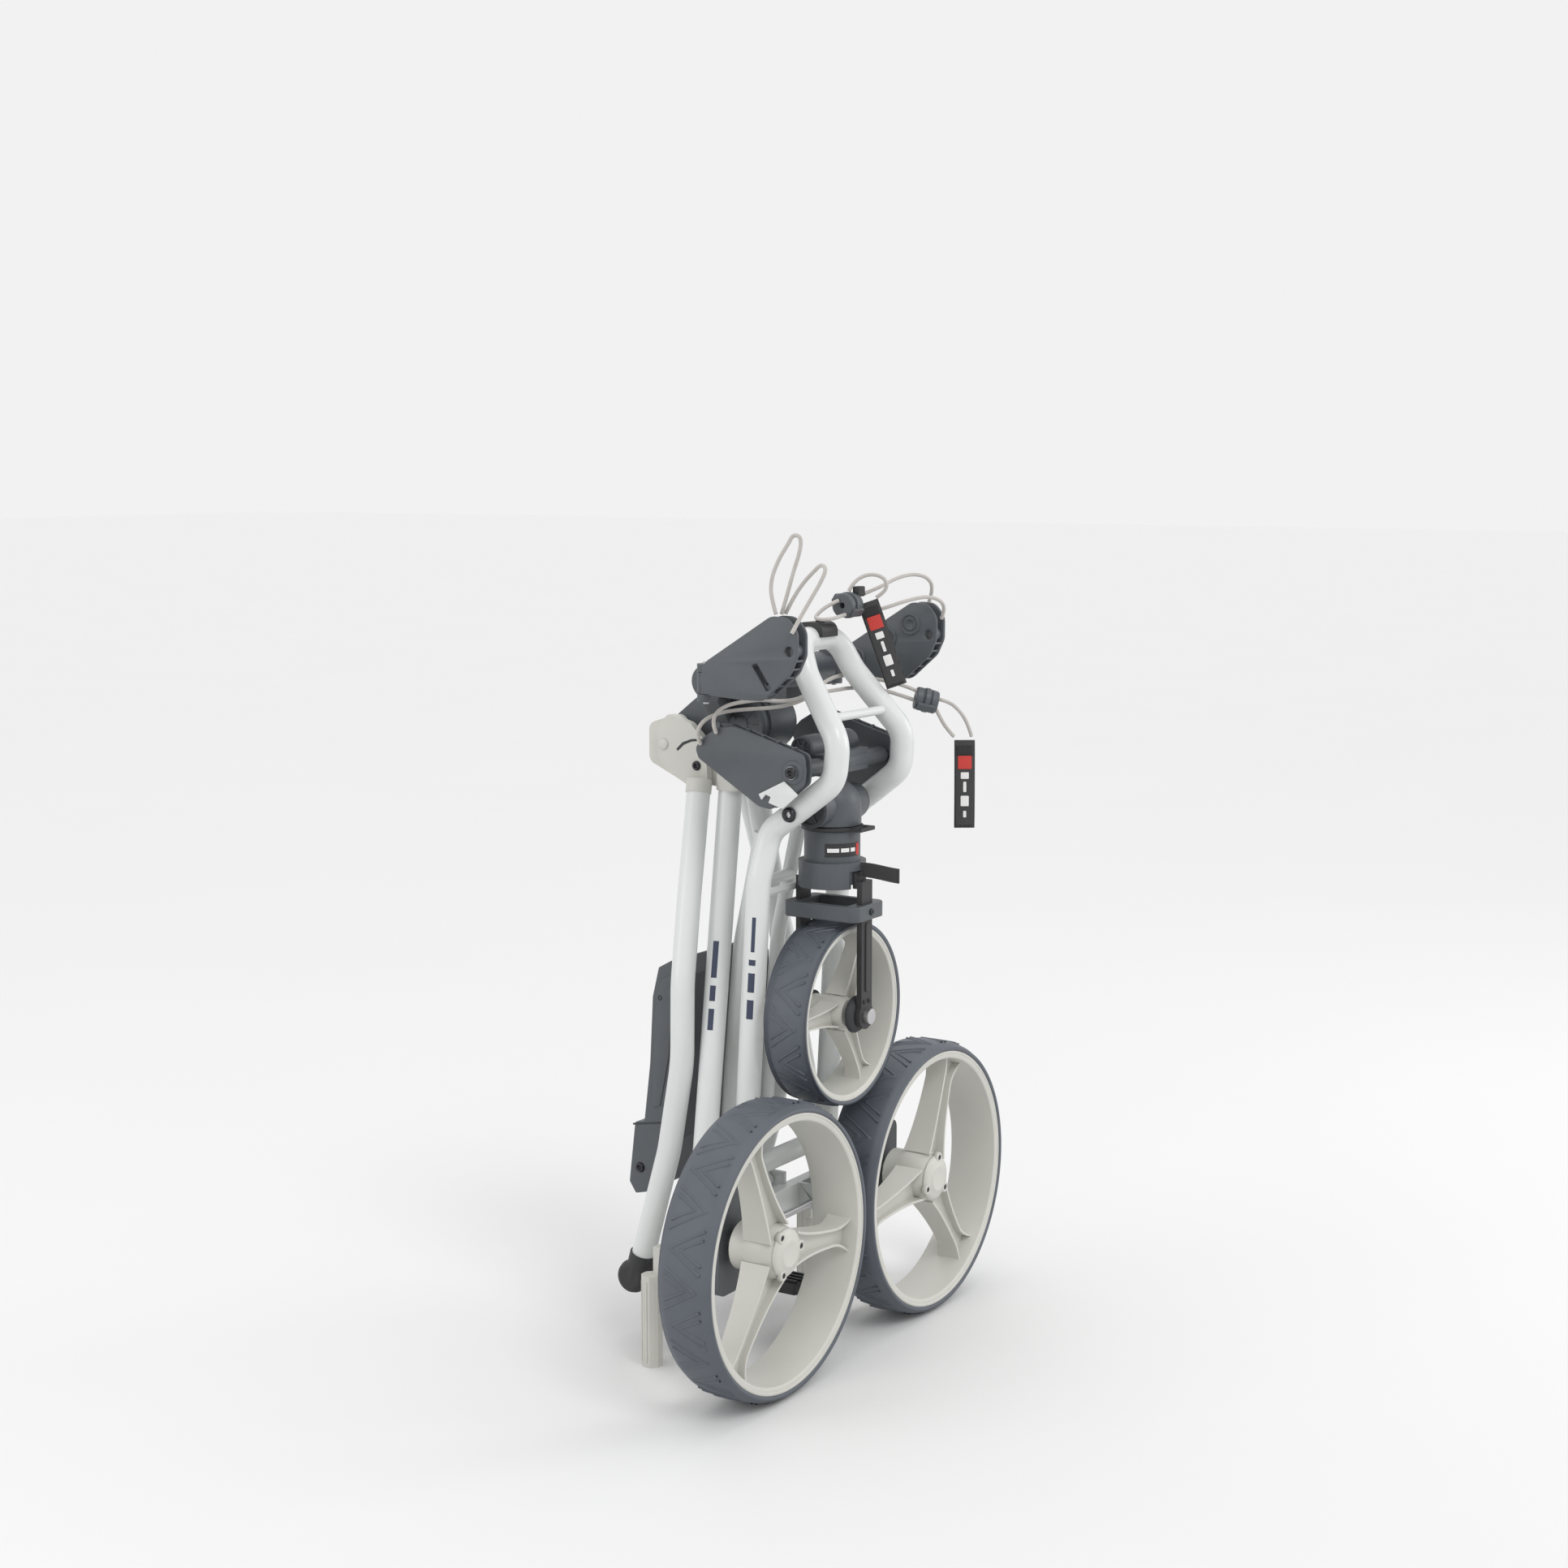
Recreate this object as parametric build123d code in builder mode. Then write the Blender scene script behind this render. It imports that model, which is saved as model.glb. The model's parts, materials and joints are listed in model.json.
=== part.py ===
from build123d import *
import os
from math import acos, atan2, cos, degrees, hypot, radians, sin, tan

os.makedirs("parts", exist_ok=True)

# Folded push trolley for a golf bag, in millimetres.
# X runs across the trolley (right side at -X), -Y is the way it rolls forward, Z is up.
# The trolley stands folded on its rear wheels and on two stand feet behind them.

FACE = -112.5  # Y of the outer faces of the folded rear wheels
SIDES = (("right", -1), ("left", 1))
RUNNING = 0.05  # radial clearance of every pin in its hole

# Rear wheels
REAR_RADIUS = 150.0
REAR_WIDTH = 60.0
REAR_X = 151.0
REAR_SPOKES = {"right": 112.0, "left": 68.0}  # angle of the first spoke

# Front wheel
FRONT_RADIUS = 97.0
FRONT_WIDTH = 50.0
FRONT_Y = FACE + 45.0
FRONT_Z = 360.8
FRONT_SPOKES = 60.0

# Axes of the folding linkage, as (Y, Z)
FOLD_PIVOT = (FACE + 107.0, 130.0)
HEAD_PIVOT = (FACE + 47.0, 577.0)
LINK_PIVOT = (FACE + 158.0, 150.0)
HEAD_ROD = 83.6  # half length of the head's pivot rod
WING_PIVOT = (FACE + 33.0, 622.0)
KNUCKLE_PIVOT = (FACE + 232.0, 632.0)
PEDAL_PIVOT = (FACE + 118.0, 88.0)

# Upright hinge lines, as (X, Y)
BRACKET_HINGE = (154.0, FACE + 115.0)
UPPER_WING_HINGE = (122.0, FACE + 120.0)

TUBE = 25.0
WALL = 2.0
CORD = 4.0

fold = degrees(acos((HEAD_PIVOT[1] - FRONT_Z + FRONT_RADIUS - FOLD_PIVOT[1])
                    / hypot(HEAD_PIVOT[0] - FOLD_PIVOT[0], HEAD_PIVOT[1] - FOLD_PIVOT[1])))
fold -= degrees(atan2(FOLD_PIVOT[0] - HEAD_PIVOT[0], HEAD_PIVOT[1] - FOLD_PIVOT[1]))
print(f"front frame unfolds by {fold:.2f} degrees to set the front wheel on the ground")


def save(part, name):
    part.label = name
    export_step(part, f"parts/{name}.step")
    print(f"{name:24s} {part.volume / 1000:9.1f} cm3, {len(part.solids())} solid(s)")


def run_tube(points, bends, outer, bore=0.0):
    """Sweep a round tube along straight runs joined by arcs."""
    with BuildLine() as path:
        if len(points) == 2:
            Line(*points)
        else:
            FilletPolyline(*points, radius=bends)
    with BuildSketch(Plane(origin=path.line @ 0, z_dir=path.line % 0)) as section:
        Circle(outer / 2)
        if bore:
            Circle(bore / 2, mode=Mode.SUBTRACT)
    sweep(section.sketch, path=path.line)
    return path.line


def rod_x(x0, x1, y, z, radius, mode=Mode.ADD):
    """Round bar along X."""
    with BuildSketch(Plane(origin=(x0, y, z), x_dir=(0, 1, 0), z_dir=(1, 0, 0))) as disc:
        Circle(radius)
    extrude(disc.sketch, amount=x1 - x0, mode=mode)


def rod_y(y0, y1, x, z, radius, mode=Mode.ADD):
    """Round bar along Y."""
    with BuildSketch(Plane(origin=(x, y0, z), x_dir=(1, 0, 0), z_dir=(0, 1, 0))) as disc:
        Circle(radius)
    extrude(disc.sketch, amount=y1 - y0, mode=mode)


def rod_z(z0, z1, x, y, radius, mode=Mode.ADD):
    """Round bar along Z."""
    with BuildSketch(Plane.XY.offset(z0)) as disc:
        with Locations((x, y)):
            Circle(radius)
    extrude(disc.sketch, amount=z1 - z0, mode=mode)


def block(x0, x1, y0, y1, z0, z1, mode=Mode.ADD):
    """Rectangular block between two corners."""
    with Locations(((x0 + x1) / 2, (y0 + y1) / 2, (z0 + z1) / 2)):
        Box(abs(x1 - x0), abs(y1 - y0), abs(z1 - z0), mode=mode)


def side_plate(x0, x1, outline, corner):
    """Plate of the given (Y, Z) outline, with rounded corners, between two X positions."""
    with BuildSketch(Plane(origin=(x0, 0, 0), x_dir=(0, 1, 0), z_dir=(1, 0, 0))) as shape:
        with BuildLine():
            Polyline(*outline, close=True)
        make_face()
        fillet(shape.vertices(), corner)
    extrude(shape.sketch, amount=x1 - x0)


# ---------------------------------------------------------------- wheels

def tyre(name, x, y, z, radius, width, rim_radius):
    with BuildPart() as tyre_ring:
        rod_y(y, y + width, x, z, radius)
        round_edges = tyre_ring.edges().filter_by(GeomType.CIRCLE)
        fillet(round_edges, width / 9)
        rod_y(y - 1, y + width + 1, x, z, rim_radius, Mode.SUBTRACT)
    save(tyre_ring.part, name)


def rim(name, x, y, z, outer, width, hub, bore, first_spoke, wall):
    """Deep barrel rim with three I-shaped spokes and a long hub."""
    spoke_top = outer - wall
    with BuildPart() as wheel_rim:
        rod_y(y + 1, y + width - 1, x, z, outer)
        rod_y(y, y + width, x, z, spoke_top, Mode.SUBTRACT)
        for turn in (0, 120, 240):
            angle = first_spoke + turn
            across = (cos(radians(angle)), 0, sin(radians(angle)))
            spoke = Plane(origin=(x, y + width * 0.42, z), x_dir=across, z_dir=(0, 1, 0))
            with BuildSketch(spoke):
                with Locations(((hub + spoke_top) / 2 - 1, 0)):
                    Trapezoid(hub, spoke_top - hub + 6, 84, rotation=-90)
            extrude(amount=3, both=True)
            with BuildSketch(spoke):
                with Locations(((hub + spoke_top) / 2, 0)):
                    Rectangle(spoke_top - hub + 4, 4)
            extrude(amount=width * 0.26, both=True)
        rod_y(y + 6, y + width, x, z, hub)
        rod_y(y, y + width + 1, x, z, bore + RUNNING, Mode.SUBTRACT)
    save(wheel_rim.part, name)


for side, sign in SIDES:
    x = sign * REAR_X
    tyre(f"rear_tyre_{side}", x, FACE, REAR_RADIUS, REAR_RADIUS, REAR_WIDTH, 140.0)
    rim(f"rear_rim_{side}", x, FACE, REAR_RADIUS, 140.0, REAR_WIDTH, 25.0, 6.0, REAR_SPOKES[side], 8.0)

    with BuildPart() as hub_cap:
        rod_y(FACE + 1, FACE + 5.5, x, REAR_RADIUS, 26.0)
        fillet(hub_cap.edges().group_by(Axis.Y)[0], 1.5)
    save(hub_cap.part, f"hub_cap_{side}")

    with BuildPart() as axle:
        rod_y(FACE + 9, FACE + 70, x, REAR_RADIUS, 6.0)
        rod_y(FACE + 62, FACE + 70, x, REAR_RADIUS, 9.0)
    save(axle.part, f"axle_{side}")

    hinge_x = sign * BRACKET_HINGE[0]
    hinge_y = BRACKET_HINGE[1]
    with BuildPart() as bracket:
        block(x - 26, x + 26, FACE + 70, FACE + 88, 98, 202)
        fillet(bracket.edges().filter_by(Axis.Y), 10)
        for height in (98, 178):
            block(hinge_x - 10, hinge_x + 10, FACE + 86, hinge_y, height, height + 14)
            rod_z(height, height + 14, hinge_x, hinge_y, 10)
        for height in (122, 138, 154, 170):
            block(x - 22, x + 22, FACE + 87, FACE + 94, height, height + 3)
        rod_z(90, 200, hinge_x, hinge_y, 4 + RUNNING, Mode.SUBTRACT)
    save(bracket.part, f"wheel_bracket_{side}")

tyre("front_tyre", 0, FRONT_Y - FRONT_WIDTH / 2, FRONT_Z, FRONT_RADIUS, FRONT_WIDTH, 91.0)
rim("front_rim", 0, FRONT_Y - FRONT_WIDTH / 2, FRONT_Z, 91.0, FRONT_WIDTH, 16.0, 5.0, FRONT_SPOKES, 6.0)

# ---------------------------------------------------------------- rear frame

LEG_TOP = (24.0, FACE + 157.0, 588.0)
LEG_FOOT = (119.0, FACE + 133.0, 148.0)

for side, sign in SIDES:
    top = Vector(sign * LEG_TOP[0], LEG_TOP[1], LEG_TOP[2])
    foot = Vector(sign * LEG_FOOT[0], LEG_FOOT[1], LEG_FOOT[2])
    beyond = (top - foot).normalized() * 20
    with BuildPart() as leg:
        run_tube([foot - beyond, top + beyond], 0, TUBE, TUBE - 2 * WALL)
        block(-200, 200, FACE, FACE + 300, 100, LEG_FOOT[2], Mode.SUBTRACT)
        block(-200, 200, FACE, FACE + 300, LEG_TOP[2], 660, Mode.SUBTRACT)
        if sign < 0:
            block(0, 60, FACE, FACE + 300, 500, 660, Mode.SUBTRACT)
    save(leg.part, f"leg_{side}")

with BuildPart() as beam:
    block(-140, 140, FACE + 126, FACE + 140, 120, 148)
    for sign in (-1, 1):
        block(sign * 150, sign * 134, FACE + 119, FACE + 140, 120, 148)
        rod_z(113, 177, sign * BRACKET_HINGE[0], BRACKET_HINGE[1], 9)
        block(sign * 62, sign * 66, FOLD_PIVOT[0], FACE + 130, 120, 148)
        rod_x(sign * 64 - 2, sign * 64 + 2, *FOLD_PIVOT, 11)
        block(sign * 46, sign * 50, FACE + 135, FACE + 168, 120, 162)
        rod_x(sign * 10 - 2, sign * 10 + 2, *PEDAL_PIVOT, 7)
        block(sign * 8, sign * 12, FACE + 112, FACE + 134, 88, 122)
    for sign in (-1, 1):
        rod_z(90, 200, sign * BRACKET_HINGE[0], BRACKET_HINGE[1], 4, Mode.SUBTRACT)
    rod_x(-70, 70, *FOLD_PIVOT, 4, Mode.SUBTRACT)
    rod_x(-54, 54, *LINK_PIVOT, 3, Mode.SUBTRACT)
    rod_x(-14, 14, *PEDAL_PIVOT, 2.5, Mode.SUBTRACT)
save(beam.part, "axle_beam")

with BuildPart() as pedal:
    block(-7, 7, PEDAL_PIVOT[0] - 6, PEDAL_PIVOT[0] + 6, 60, 92)
    block(-18, 18, FACE + 80, FACE + 122, 52, 64)
    fillet(pedal.edges().filter_by(Axis.Z).group_by(Axis.X)[0], 4)
    fillet(pedal.edges().filter_by(Axis.Z).group_by(Axis.X)[-1], 4)
    for step in (-12, -4, 4, 12):
        block(step - 1.5, step + 1.5, FACE + 82, FACE + 110, 63, 66)
    rod_x(-20, 20, *PEDAL_PIVOT, 2.5 + RUNNING, Mode.SUBTRACT)
save(pedal.part, "brake_pedal")

FOOT_X = 150.0
FOOT_Y = FACE + 172.0
with BuildPart() as feet:
    for sign in (-1, 1):
        with BuildSketch(Plane.XY):
            with Locations((sign * FOOT_X, FOOT_Y)):
                RegularPolygon(11, 8, rotation=22.5)
        extrude(amount=97)
        block(sign * 122, sign * 146, FACE + 141, FACE + 168, 121, 127)
        block(sign * 140, sign * 150, FACE + 160, FACE + 170, 80, 127)
        block(sign * 122, sign * 138, FACE + 140.2, FACE + 146, 121, 146)
save(feet.part, "stand_feet")

# ---------------------------------------------------------------- top of the upright

with BuildPart() as knuckle:
    block(-38, 38, FACE + 139, FACE + 170, LEG_TOP[2], 606)
    fillet(knuckle.edges().filter_by(Axis.Z), 10)
    for sign in (-1, 1):
        with BuildSketch(Plane(origin=(min(sign * 16, sign * 28), 0, 0), x_dir=(0, 1, 0),
                               z_dir=(1, 0, 0))) as ear:
            with BuildLine():
                Polyline((FACE + 140, 604), (FACE + 150, 588.1), (FACE + 222, 596),
                         (FACE + 258, 612), (FACE + 258, 652), (FACE + 222, 664),
                         (FACE + 196, 634), close=True)
            make_face()
            fillet(ear.vertices().sort_by(Axis.X)[2:], 10)
        extrude(amount=12)
    rod_x(-40, 40, *KNUCKLE_PIVOT, 5, Mode.SUBTRACT)
save(knuckle.part, "top_knuckle")

with BuildPart() as arm:
    side_plate(-15, 15, [(FACE + 246, 622), (FACE + 250, 646), (FACE + 212, 676), (FACE + 152, 720),
                         (FACE + 118, 722), (FACE + 112, 700), (FACE + 116, 640), (FACE + 150, 628),
                         (FACE + 208, 640), (FACE + 226, 618)], 7)
    rod_x(-30, 30, FACE + 140, 657, 30)
    rod_x(-22, 22, FACE + 140, 657, 33)
    with BuildSketch(Plane(origin=(-110, 0, 0), x_dir=(0, 1, 0), z_dir=(1, 0, 0))):
        with Locations((FACE + 128, 708)):
            Ellipse(18, 17, rotation=25)
    extrude(amount=220)
    for sign in (-1, 1):
        branch_run = Vector(sign * 77, -30, 0).normalized()
        with BuildSketch(Plane(origin=(sign * 28, FACE + 160, 0), x_dir=branch_run,
                               z_dir=branch_run.cross(Vector(0, 0, 1)))) as branch:
            with BuildLine():
                Polyline((-4, 668), (0, 690), (84, 724), (84, 693), (20, 660), close=True)
            make_face()
            fillet(branch.vertices(), 4)
        extrude(branch.sketch, amount=8, both=True)
        for low in (690, 720):
            rod_z(low, low + 8, sign * UPPER_WING_HINGE[0], UPPER_WING_HINGE[1], 9)
            block(sign * 106, sign * 122, UPPER_WING_HINGE[1] - 4, UPPER_WING_HINGE[1] + 9, low, low + 8)
        rod_z(680, 735, sign * UPPER_WING_HINGE[0], UPPER_WING_HINGE[1], 3, Mode.SUBTRACT)
    rod_x(-40, 40, *KNUCKLE_PIVOT, 5, Mode.SUBTRACT)
save(arm.part, "upper_bracket_arm")

with BuildPart() as pins:
    rod_x(-98, 98, *FOLD_PIVOT, 4)
    rod_x(-52, 52, *LINK_PIVOT, 3)
    rod_x(-15, 15, *PEDAL_PIVOT, 2.5)
    rod_x(-39, 39, *KNUCKLE_PIVOT, 5)
    for sign in (-1, 1):
        rod_z(94, 196, sign * BRACKET_HINGE[0], BRACKET_HINGE[1], 4)
        rod_z(688, 730, sign * UPPER_WING_HINGE[0], UPPER_WING_HINGE[1], 3)
save(pins.part, "frame_pins")

WING_TIP = (FACE + 24.7, 752.0)
for side, sign in SIDES:
    hinge_x = sign * UPPER_WING_HINGE[0]
    hinge_y = UPPER_WING_HINGE[1]
    with BuildPart() as wing:
        inner, outer = sorted((sign * 127, sign * 147))
        side_plate(inner, outer, [(FACE + 28, 778), (FACE + 109, 730), (FACE + 109, 699), (FACE + 60, 696),
                                  (FACE + 36, 696.5), (FACE + 4, 724), (FACE, 738)], 5)
        rod_x(inner, outer, *WING_TIP, 28)
        block(hinge_x, sign * 140, hinge_y - 13, hinge_y - 4, 698.5, 719.5)
        rod_z(698.5, 719.5, hinge_x, hinge_y, 9)
        rod_z(680, 740, hinge_x, hinge_y, 3 + RUNNING, Mode.SUBTRACT)
        rod_x(sign * 137 - 14, sign * 137 + 14, FACE + 7, 746, 5, Mode.SUBTRACT)
    save(wing.part, f"upper_wing_{side}")

# ---------------------------------------------------------------- front frame

JOINT = (69.0, FACE + 60.0, 569.0)
BOW = [(68.5, FACE + 38.0, 585.0), (66.5, FACE + 4.0, 611.0), (64.5, FACE + 1.0, 650.0),
       (45.0, FACE + 50.0, 714.0), (36.0, FACE + 66.0, 748.0)]


def joint_run(sign):
    """Direction of the bow's first run, which the front tube shares at the joint."""
    first = Vector(sign * BOW[0][0], BOW[0][1], BOW[0][2])
    joint = Vector(sign * JOINT[0], JOINT[1], JOINT[2])
    return (first - joint).normalized()


for side, sign in SIDES:
    joint = Vector(sign * JOINT[0], JOINT[1], JOINT[2])
    corner = joint - joint_run(sign) * 22
    with BuildPart() as front_tube:
        run_tube([(sign * 80, *FOLD_PIVOT), (sign * 78, FACE + 86.5, 505), corner, joint],
                 [60, 28], TUBE, TUBE - 2 * WALL)
        rod_x(sign * 80 - 12, sign * 80 + 12, *FOLD_PIVOT, 13)
        rod_x(sign * 80 - 20, sign * 80 + 20, *FOLD_PIVOT, 4 + RUNNING, Mode.SUBTRACT)
        rod_x(-HEAD_ROD, HEAD_ROD, *HEAD_PIVOT, 4, Mode.SUBTRACT)
    save(front_tube.part, f"front_tube_{side}")

with BuildPart() as bow:
    left = [Vector(x, y, z) for x, y, z in [JOINT] + BOW]
    right = [Vector(-x, y, z) for x, y, z in reversed([JOINT] + BOW)]
    run_tube(left + right, [12, 30, 34, 60, 26, 26, 60, 34, 30, 12], TUBE, TUBE - 2 * WALL)
    rod_x(-HEAD_ROD, HEAD_ROD, *HEAD_PIVOT, 4, Mode.SUBTRACT)
save(bow.part, "bow_loop")

with BuildPart() as cross_bars:
    rod_x(-67, 67, FACE + 103, 200, 10.5)
    rod_x(-70, 70, FACE + 103, 200, 8.5, Mode.SUBTRACT)
    rod_x(-68.4, 68.4, FACE + 89.6, 490, 4)
    rod_x(-46, 46, FACE + 16, 673, 4.5)
save(cross_bars.part, "front_cross_bars")

with BuildPart() as clip:
    block(-15, 15, FACE + 50, FACE + 82, 750, 765)
    fillet(clip.edges().filter_by(Axis.X).group_by(Axis.Z)[-1], 10)
    block(-12, 12, FACE + 80, FACE + 92, 752, 758)
    rod_z(740, 770, 0, FACE + 62, 4, Mode.SUBTRACT)
    rod_x(-20, 20, FACE + 66, 748, 12.6, Mode.SUBTRACT)
save(clip.part, "bow_clip")

with BuildPart() as head_rod:
    rod_x(-HEAD_ROD, HEAD_ROD, *HEAD_PIVOT, 4)
save(head_rod.part, "head_pivot_rod")

with BuildPart() as bracket_beam:
    rod_x(-80, 80, WING_PIVOT[0] + 4, WING_PIVOT[1], 9)
    block(-44, 44, FACE + 30, FACE + 72, 612, 634)
    for sign in (-1, 1):
        rod_x(sign * 30 - 14, sign * 30 + 14, FACE + 56, 639, 13)
    fillet(bracket_beam.edges().filter_by(Axis.Z), 2)
save(bracket_beam.part, "lower_bracket_beam")

with BuildPart() as bolts:
    for sign in (-1, 1):
        rod_x(min(sign * 81, sign * 102), max(sign * 81, sign * 102), *WING_PIVOT, 4)
        rod_x(min(sign * 99, sign * 102), max(sign * 99, sign * 102), *WING_PIVOT, 6.5)
save(bolts.part, "lower_wing_bolts")

for side, sign in SIDES:
    low, high = sorted((sign * 84, sign * 98))
    with BuildPart() as wing:
        side_plate(low, high, [(FACE + 18, 610), (FACE + 22, 642), (FACE + 112, 672), (FACE + 160, 662),
                               (FACE + 158, 634), (FACE + 66, 582), (FACE + 44, 586)], 9)
        rod_x(low - 2, high + 2, *WING_PIVOT, 4 + RUNNING, Mode.SUBTRACT)
    save(wing.part, f"lower_wing_{side}")

# ---------------------------------------------------------------- head and fork

with BuildPart() as head:
    rod_z(558, 578, 0, HEAD_PIVOT[0], 30)
    with Locations((0, HEAD_PIVOT[0], 576)):
        Sphere(30)
    block(-60, 60, FACE, FACE + 100, 604, 620, Mode.SUBTRACT)
    block(-60, 60, FACE, FACE + 100, 520, 558, Mode.SUBTRACT)
    rod_x(-42, 42, *HEAD_PIVOT, 19)
    block(-60, 60, FACE, FACE + 100, 540, 558, Mode.SUBTRACT)
    rod_x(-70, 70, *HEAD_PIVOT, 4 + RUNNING, Mode.SUBTRACT)
    rod_z(540, 566, 0, HEAD_PIVOT[0], 9, Mode.SUBTRACT)
save(head.part, "steering_head")

with BuildPart() as lever:
    rod_z(553.3, 557.3, 0, HEAD_PIVOT[0], 32)
    block(-14, 14, FACE + 4, FACE + 30, 553.3, 557.3)
    rod_z(550, 560, 0, HEAD_PIVOT[0], 12, Mode.SUBTRACT)
    block(-9, 9, FACE + 8, FACE + 14, 550, 560, Mode.SUBTRACT)
save(lever.part, "swivel_lock_lever")

with BuildPart() as crown:
    rod_z(520, 552.6, 0, HEAD_PIVOT[0], 29)
    rod_z(552, 562, 0, HEAD_PIVOT[0], 9 - RUNNING)
    rod_z(494, 521, 0, HEAD_PIVOT[0], 35)
    for sign in (-1, 1):
        block(-60, 60, HEAD_PIVOT[0] + sign * 30.6, HEAD_PIVOT[0] + sign * 60, 480, 512, Mode.SUBTRACT)
    block(-13, 13, FACE, FACE + 100, 490, 498, Mode.SUBTRACT)
save(crown.part, "fork_crown")

for name, sign in (("front", -1), ("rear", 1)):
    leg_y = FRONT_Y + sign * 37
    with BuildPart() as fork_leg:
        block(-10.5, 10.5, leg_y - 3, leg_y + 3, FRONT_Z, 500)
        block(-10.5, 10.5, HEAD_PIVOT[0] + sign * 30.8, leg_y + sign * 3, 494, 502)
        block(-10.5, 10.5, HEAD_PIVOT[0] + sign * 30.8, HEAD_PIVOT[0] + sign * 34.5, 494, 511)
        rod_y(leg_y - 3, leg_y + 3, 0, FRONT_Z, 14)
        rod_y(leg_y - 9, leg_y + 9, 0, FRONT_Z, 5, Mode.SUBTRACT)
    save(fork_leg.part, f"fork_leg_{name}")

with BuildPart() as band:
    block(-30, 30, FRONT_Y - 45, FRONT_Y + 45, 462, 478)
    fillet(band.edges().filter_by(Axis.Z), 10)
    block(-10.5, 10.5, FRONT_Y - 40, FRONT_Y - 34, 450, 490, Mode.SUBTRACT)
    block(-10.5, 10.5, FRONT_Y + 34, FRONT_Y + 40, 450, 490, Mode.SUBTRACT)
    block(-22, 22, FRONT_Y - 29, FRONT_Y + 29, 450, 490, Mode.SUBTRACT)
save(band.part, "fork_band")

with BuildPart() as front_axle:
    rod_y(FRONT_Y - 43, FRONT_Y + 43, 0, FRONT_Z, 5)
    rod_y(FRONT_Y - 46, FRONT_Y - 40.1, 0, FRONT_Z, 8)
    rod_y(FRONT_Y + 40.1, FRONT_Y + 46, 0, FRONT_Z, 8)
save(front_axle.part, "front_axle")

with BuildPart() as strap:
    block(-1.25, 1.25, FACE - 33, FACE + 11.5, 504, 519)
save(strap.part, "fork_strap")

# ---------------------------------------------------------------- parallel link

LINK_BAR = 16.0
with BuildPart() as link:
    for sign in (-1, 1):
        run_tube([(sign * 36, *LINK_PIVOT), (sign * 36, FACE + 148, 300), (sign * 36, FACE + 136, 430),
                  (sign * 36, FACE + 110, 548)], [200, 150], LINK_BAR)
        rod_x(sign * 36 - 9, sign * 36 + 9, *LINK_PIVOT, 10)
    rod_x(-36, 36, FACE + 151, 240, 6)
    rod_x(-36, 36, FACE + 119, 494, 6)
    for sign in (-1, 1):
        rod_x(sign * 36 - 12, sign * 36 + 12, *LINK_PIVOT, 3 + RUNNING, Mode.SUBTRACT)
save(link.part, "parallel_link")

# ---------------------------------------------------------------- handle

HANDLE = [(42, FACE + 184, 596), (76, FACE + 174, 480), (100, FACE + 166, 395), (100, FACE + 167, 310),
          (100, FACE + 184, 215), (100, FACE + 222, 84)]

for side, sign in SIDES:
    with BuildPart() as handle_tube:
        run_tube([(sign * x, y, z) for x, y, z in HANDLE], [200, 80, 200, 150], TUBE, TUBE - 2 * WALL)
    save(handle_tube.part, f"handle_tube_{side}")

with BuildPart() as grip:
    rod_x(-114, 114, FACE + 228, 72, 17)
    fillet(grip.edges().filter_by(GeomType.CIRCLE), 6)
    end_run = Vector(0, HANDLE[-1][1] - HANDLE[-2][1], HANDLE[-1][2] - HANDLE[-2][2]).normalized()
    for sign in (-1, 1):
        stop = Vector(sign * 100, HANDLE[-1][1], HANDLE[-1][2])
        with BuildSketch(Plane(origin=stop, z_dir=end_run * -1)):
            Circle(14.5)
        extrude(amount=-12)
        with BuildSketch(Plane(origin=stop, z_dir=end_run * -1)):
            Circle(14.5)
        extrude(amount=14)
        with BuildSketch(Plane(origin=stop, z_dir=end_run * -1)):
            Circle(TUBE / 2)
        extrude(amount=20, mode=Mode.SUBTRACT)
save(grip.part, "handle_grip")

with BuildPart() as yokes:
    for sign in (-1, 1):
        low, high = sorted((sign * 29, sign * 38))
        side_plate(low, high, [(FACE + 176, 590), (FACE + 196, 588), (FACE + 228, 604), (FACE + 240, 620),
                               (FACE + 240, 650), (FACE + 226, 665), (FACE + 198, 656), (FACE + 179, 638)], 7)
        top = Vector(sign * HANDLE[0][0], HANDLE[0][1], HANDLE[0][2])
        along = (top - Vector(sign * HANDLE[1][0], HANDLE[1][1], HANDLE[1][2])).normalized()
        with BuildSketch(Plane(origin=top, z_dir=along)):
            Circle(13.5)
        extrude(amount=2)
        with BuildSketch(Plane(origin=top, z_dir=along)):
            Circle(13.5)
        extrude(amount=-12)
        with BuildSketch(Plane(origin=top, z_dir=along)):
            Circle(TUBE / 2)
        extrude(amount=-40, mode=Mode.SUBTRACT)
    rod_x(-60, 60, *KNUCKLE_PIVOT, 5 + RUNNING, Mode.SUBTRACT)
save(yokes.part, "handle_yokes")

with BuildPart() as console:
    side_plate(-86, 86, [(FACE + 188, 414), (FACE + 206, 404), (FACE + 214, 372), (FACE + 218, 300),
                         (FACE + 226, 236), (FACE + 238, 234), (FACE + 246, 168), (FACE + 238, 156),
                         (FACE + 222, 160), (FACE + 198, 215), (FACE + 181, 310), (FACE + 181, 395)], 3)
    for sign in (-1, 1):
        for height, behind in ((380, 166), (250, 178)):
            rod_x(min(sign * 80, sign * 87.6), max(sign * 80, sign * 87.6), FACE + behind + 22, height, 7)
save(console.part, "handle_console")

# ---------------------------------------------------------------- elastic cords

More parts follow.
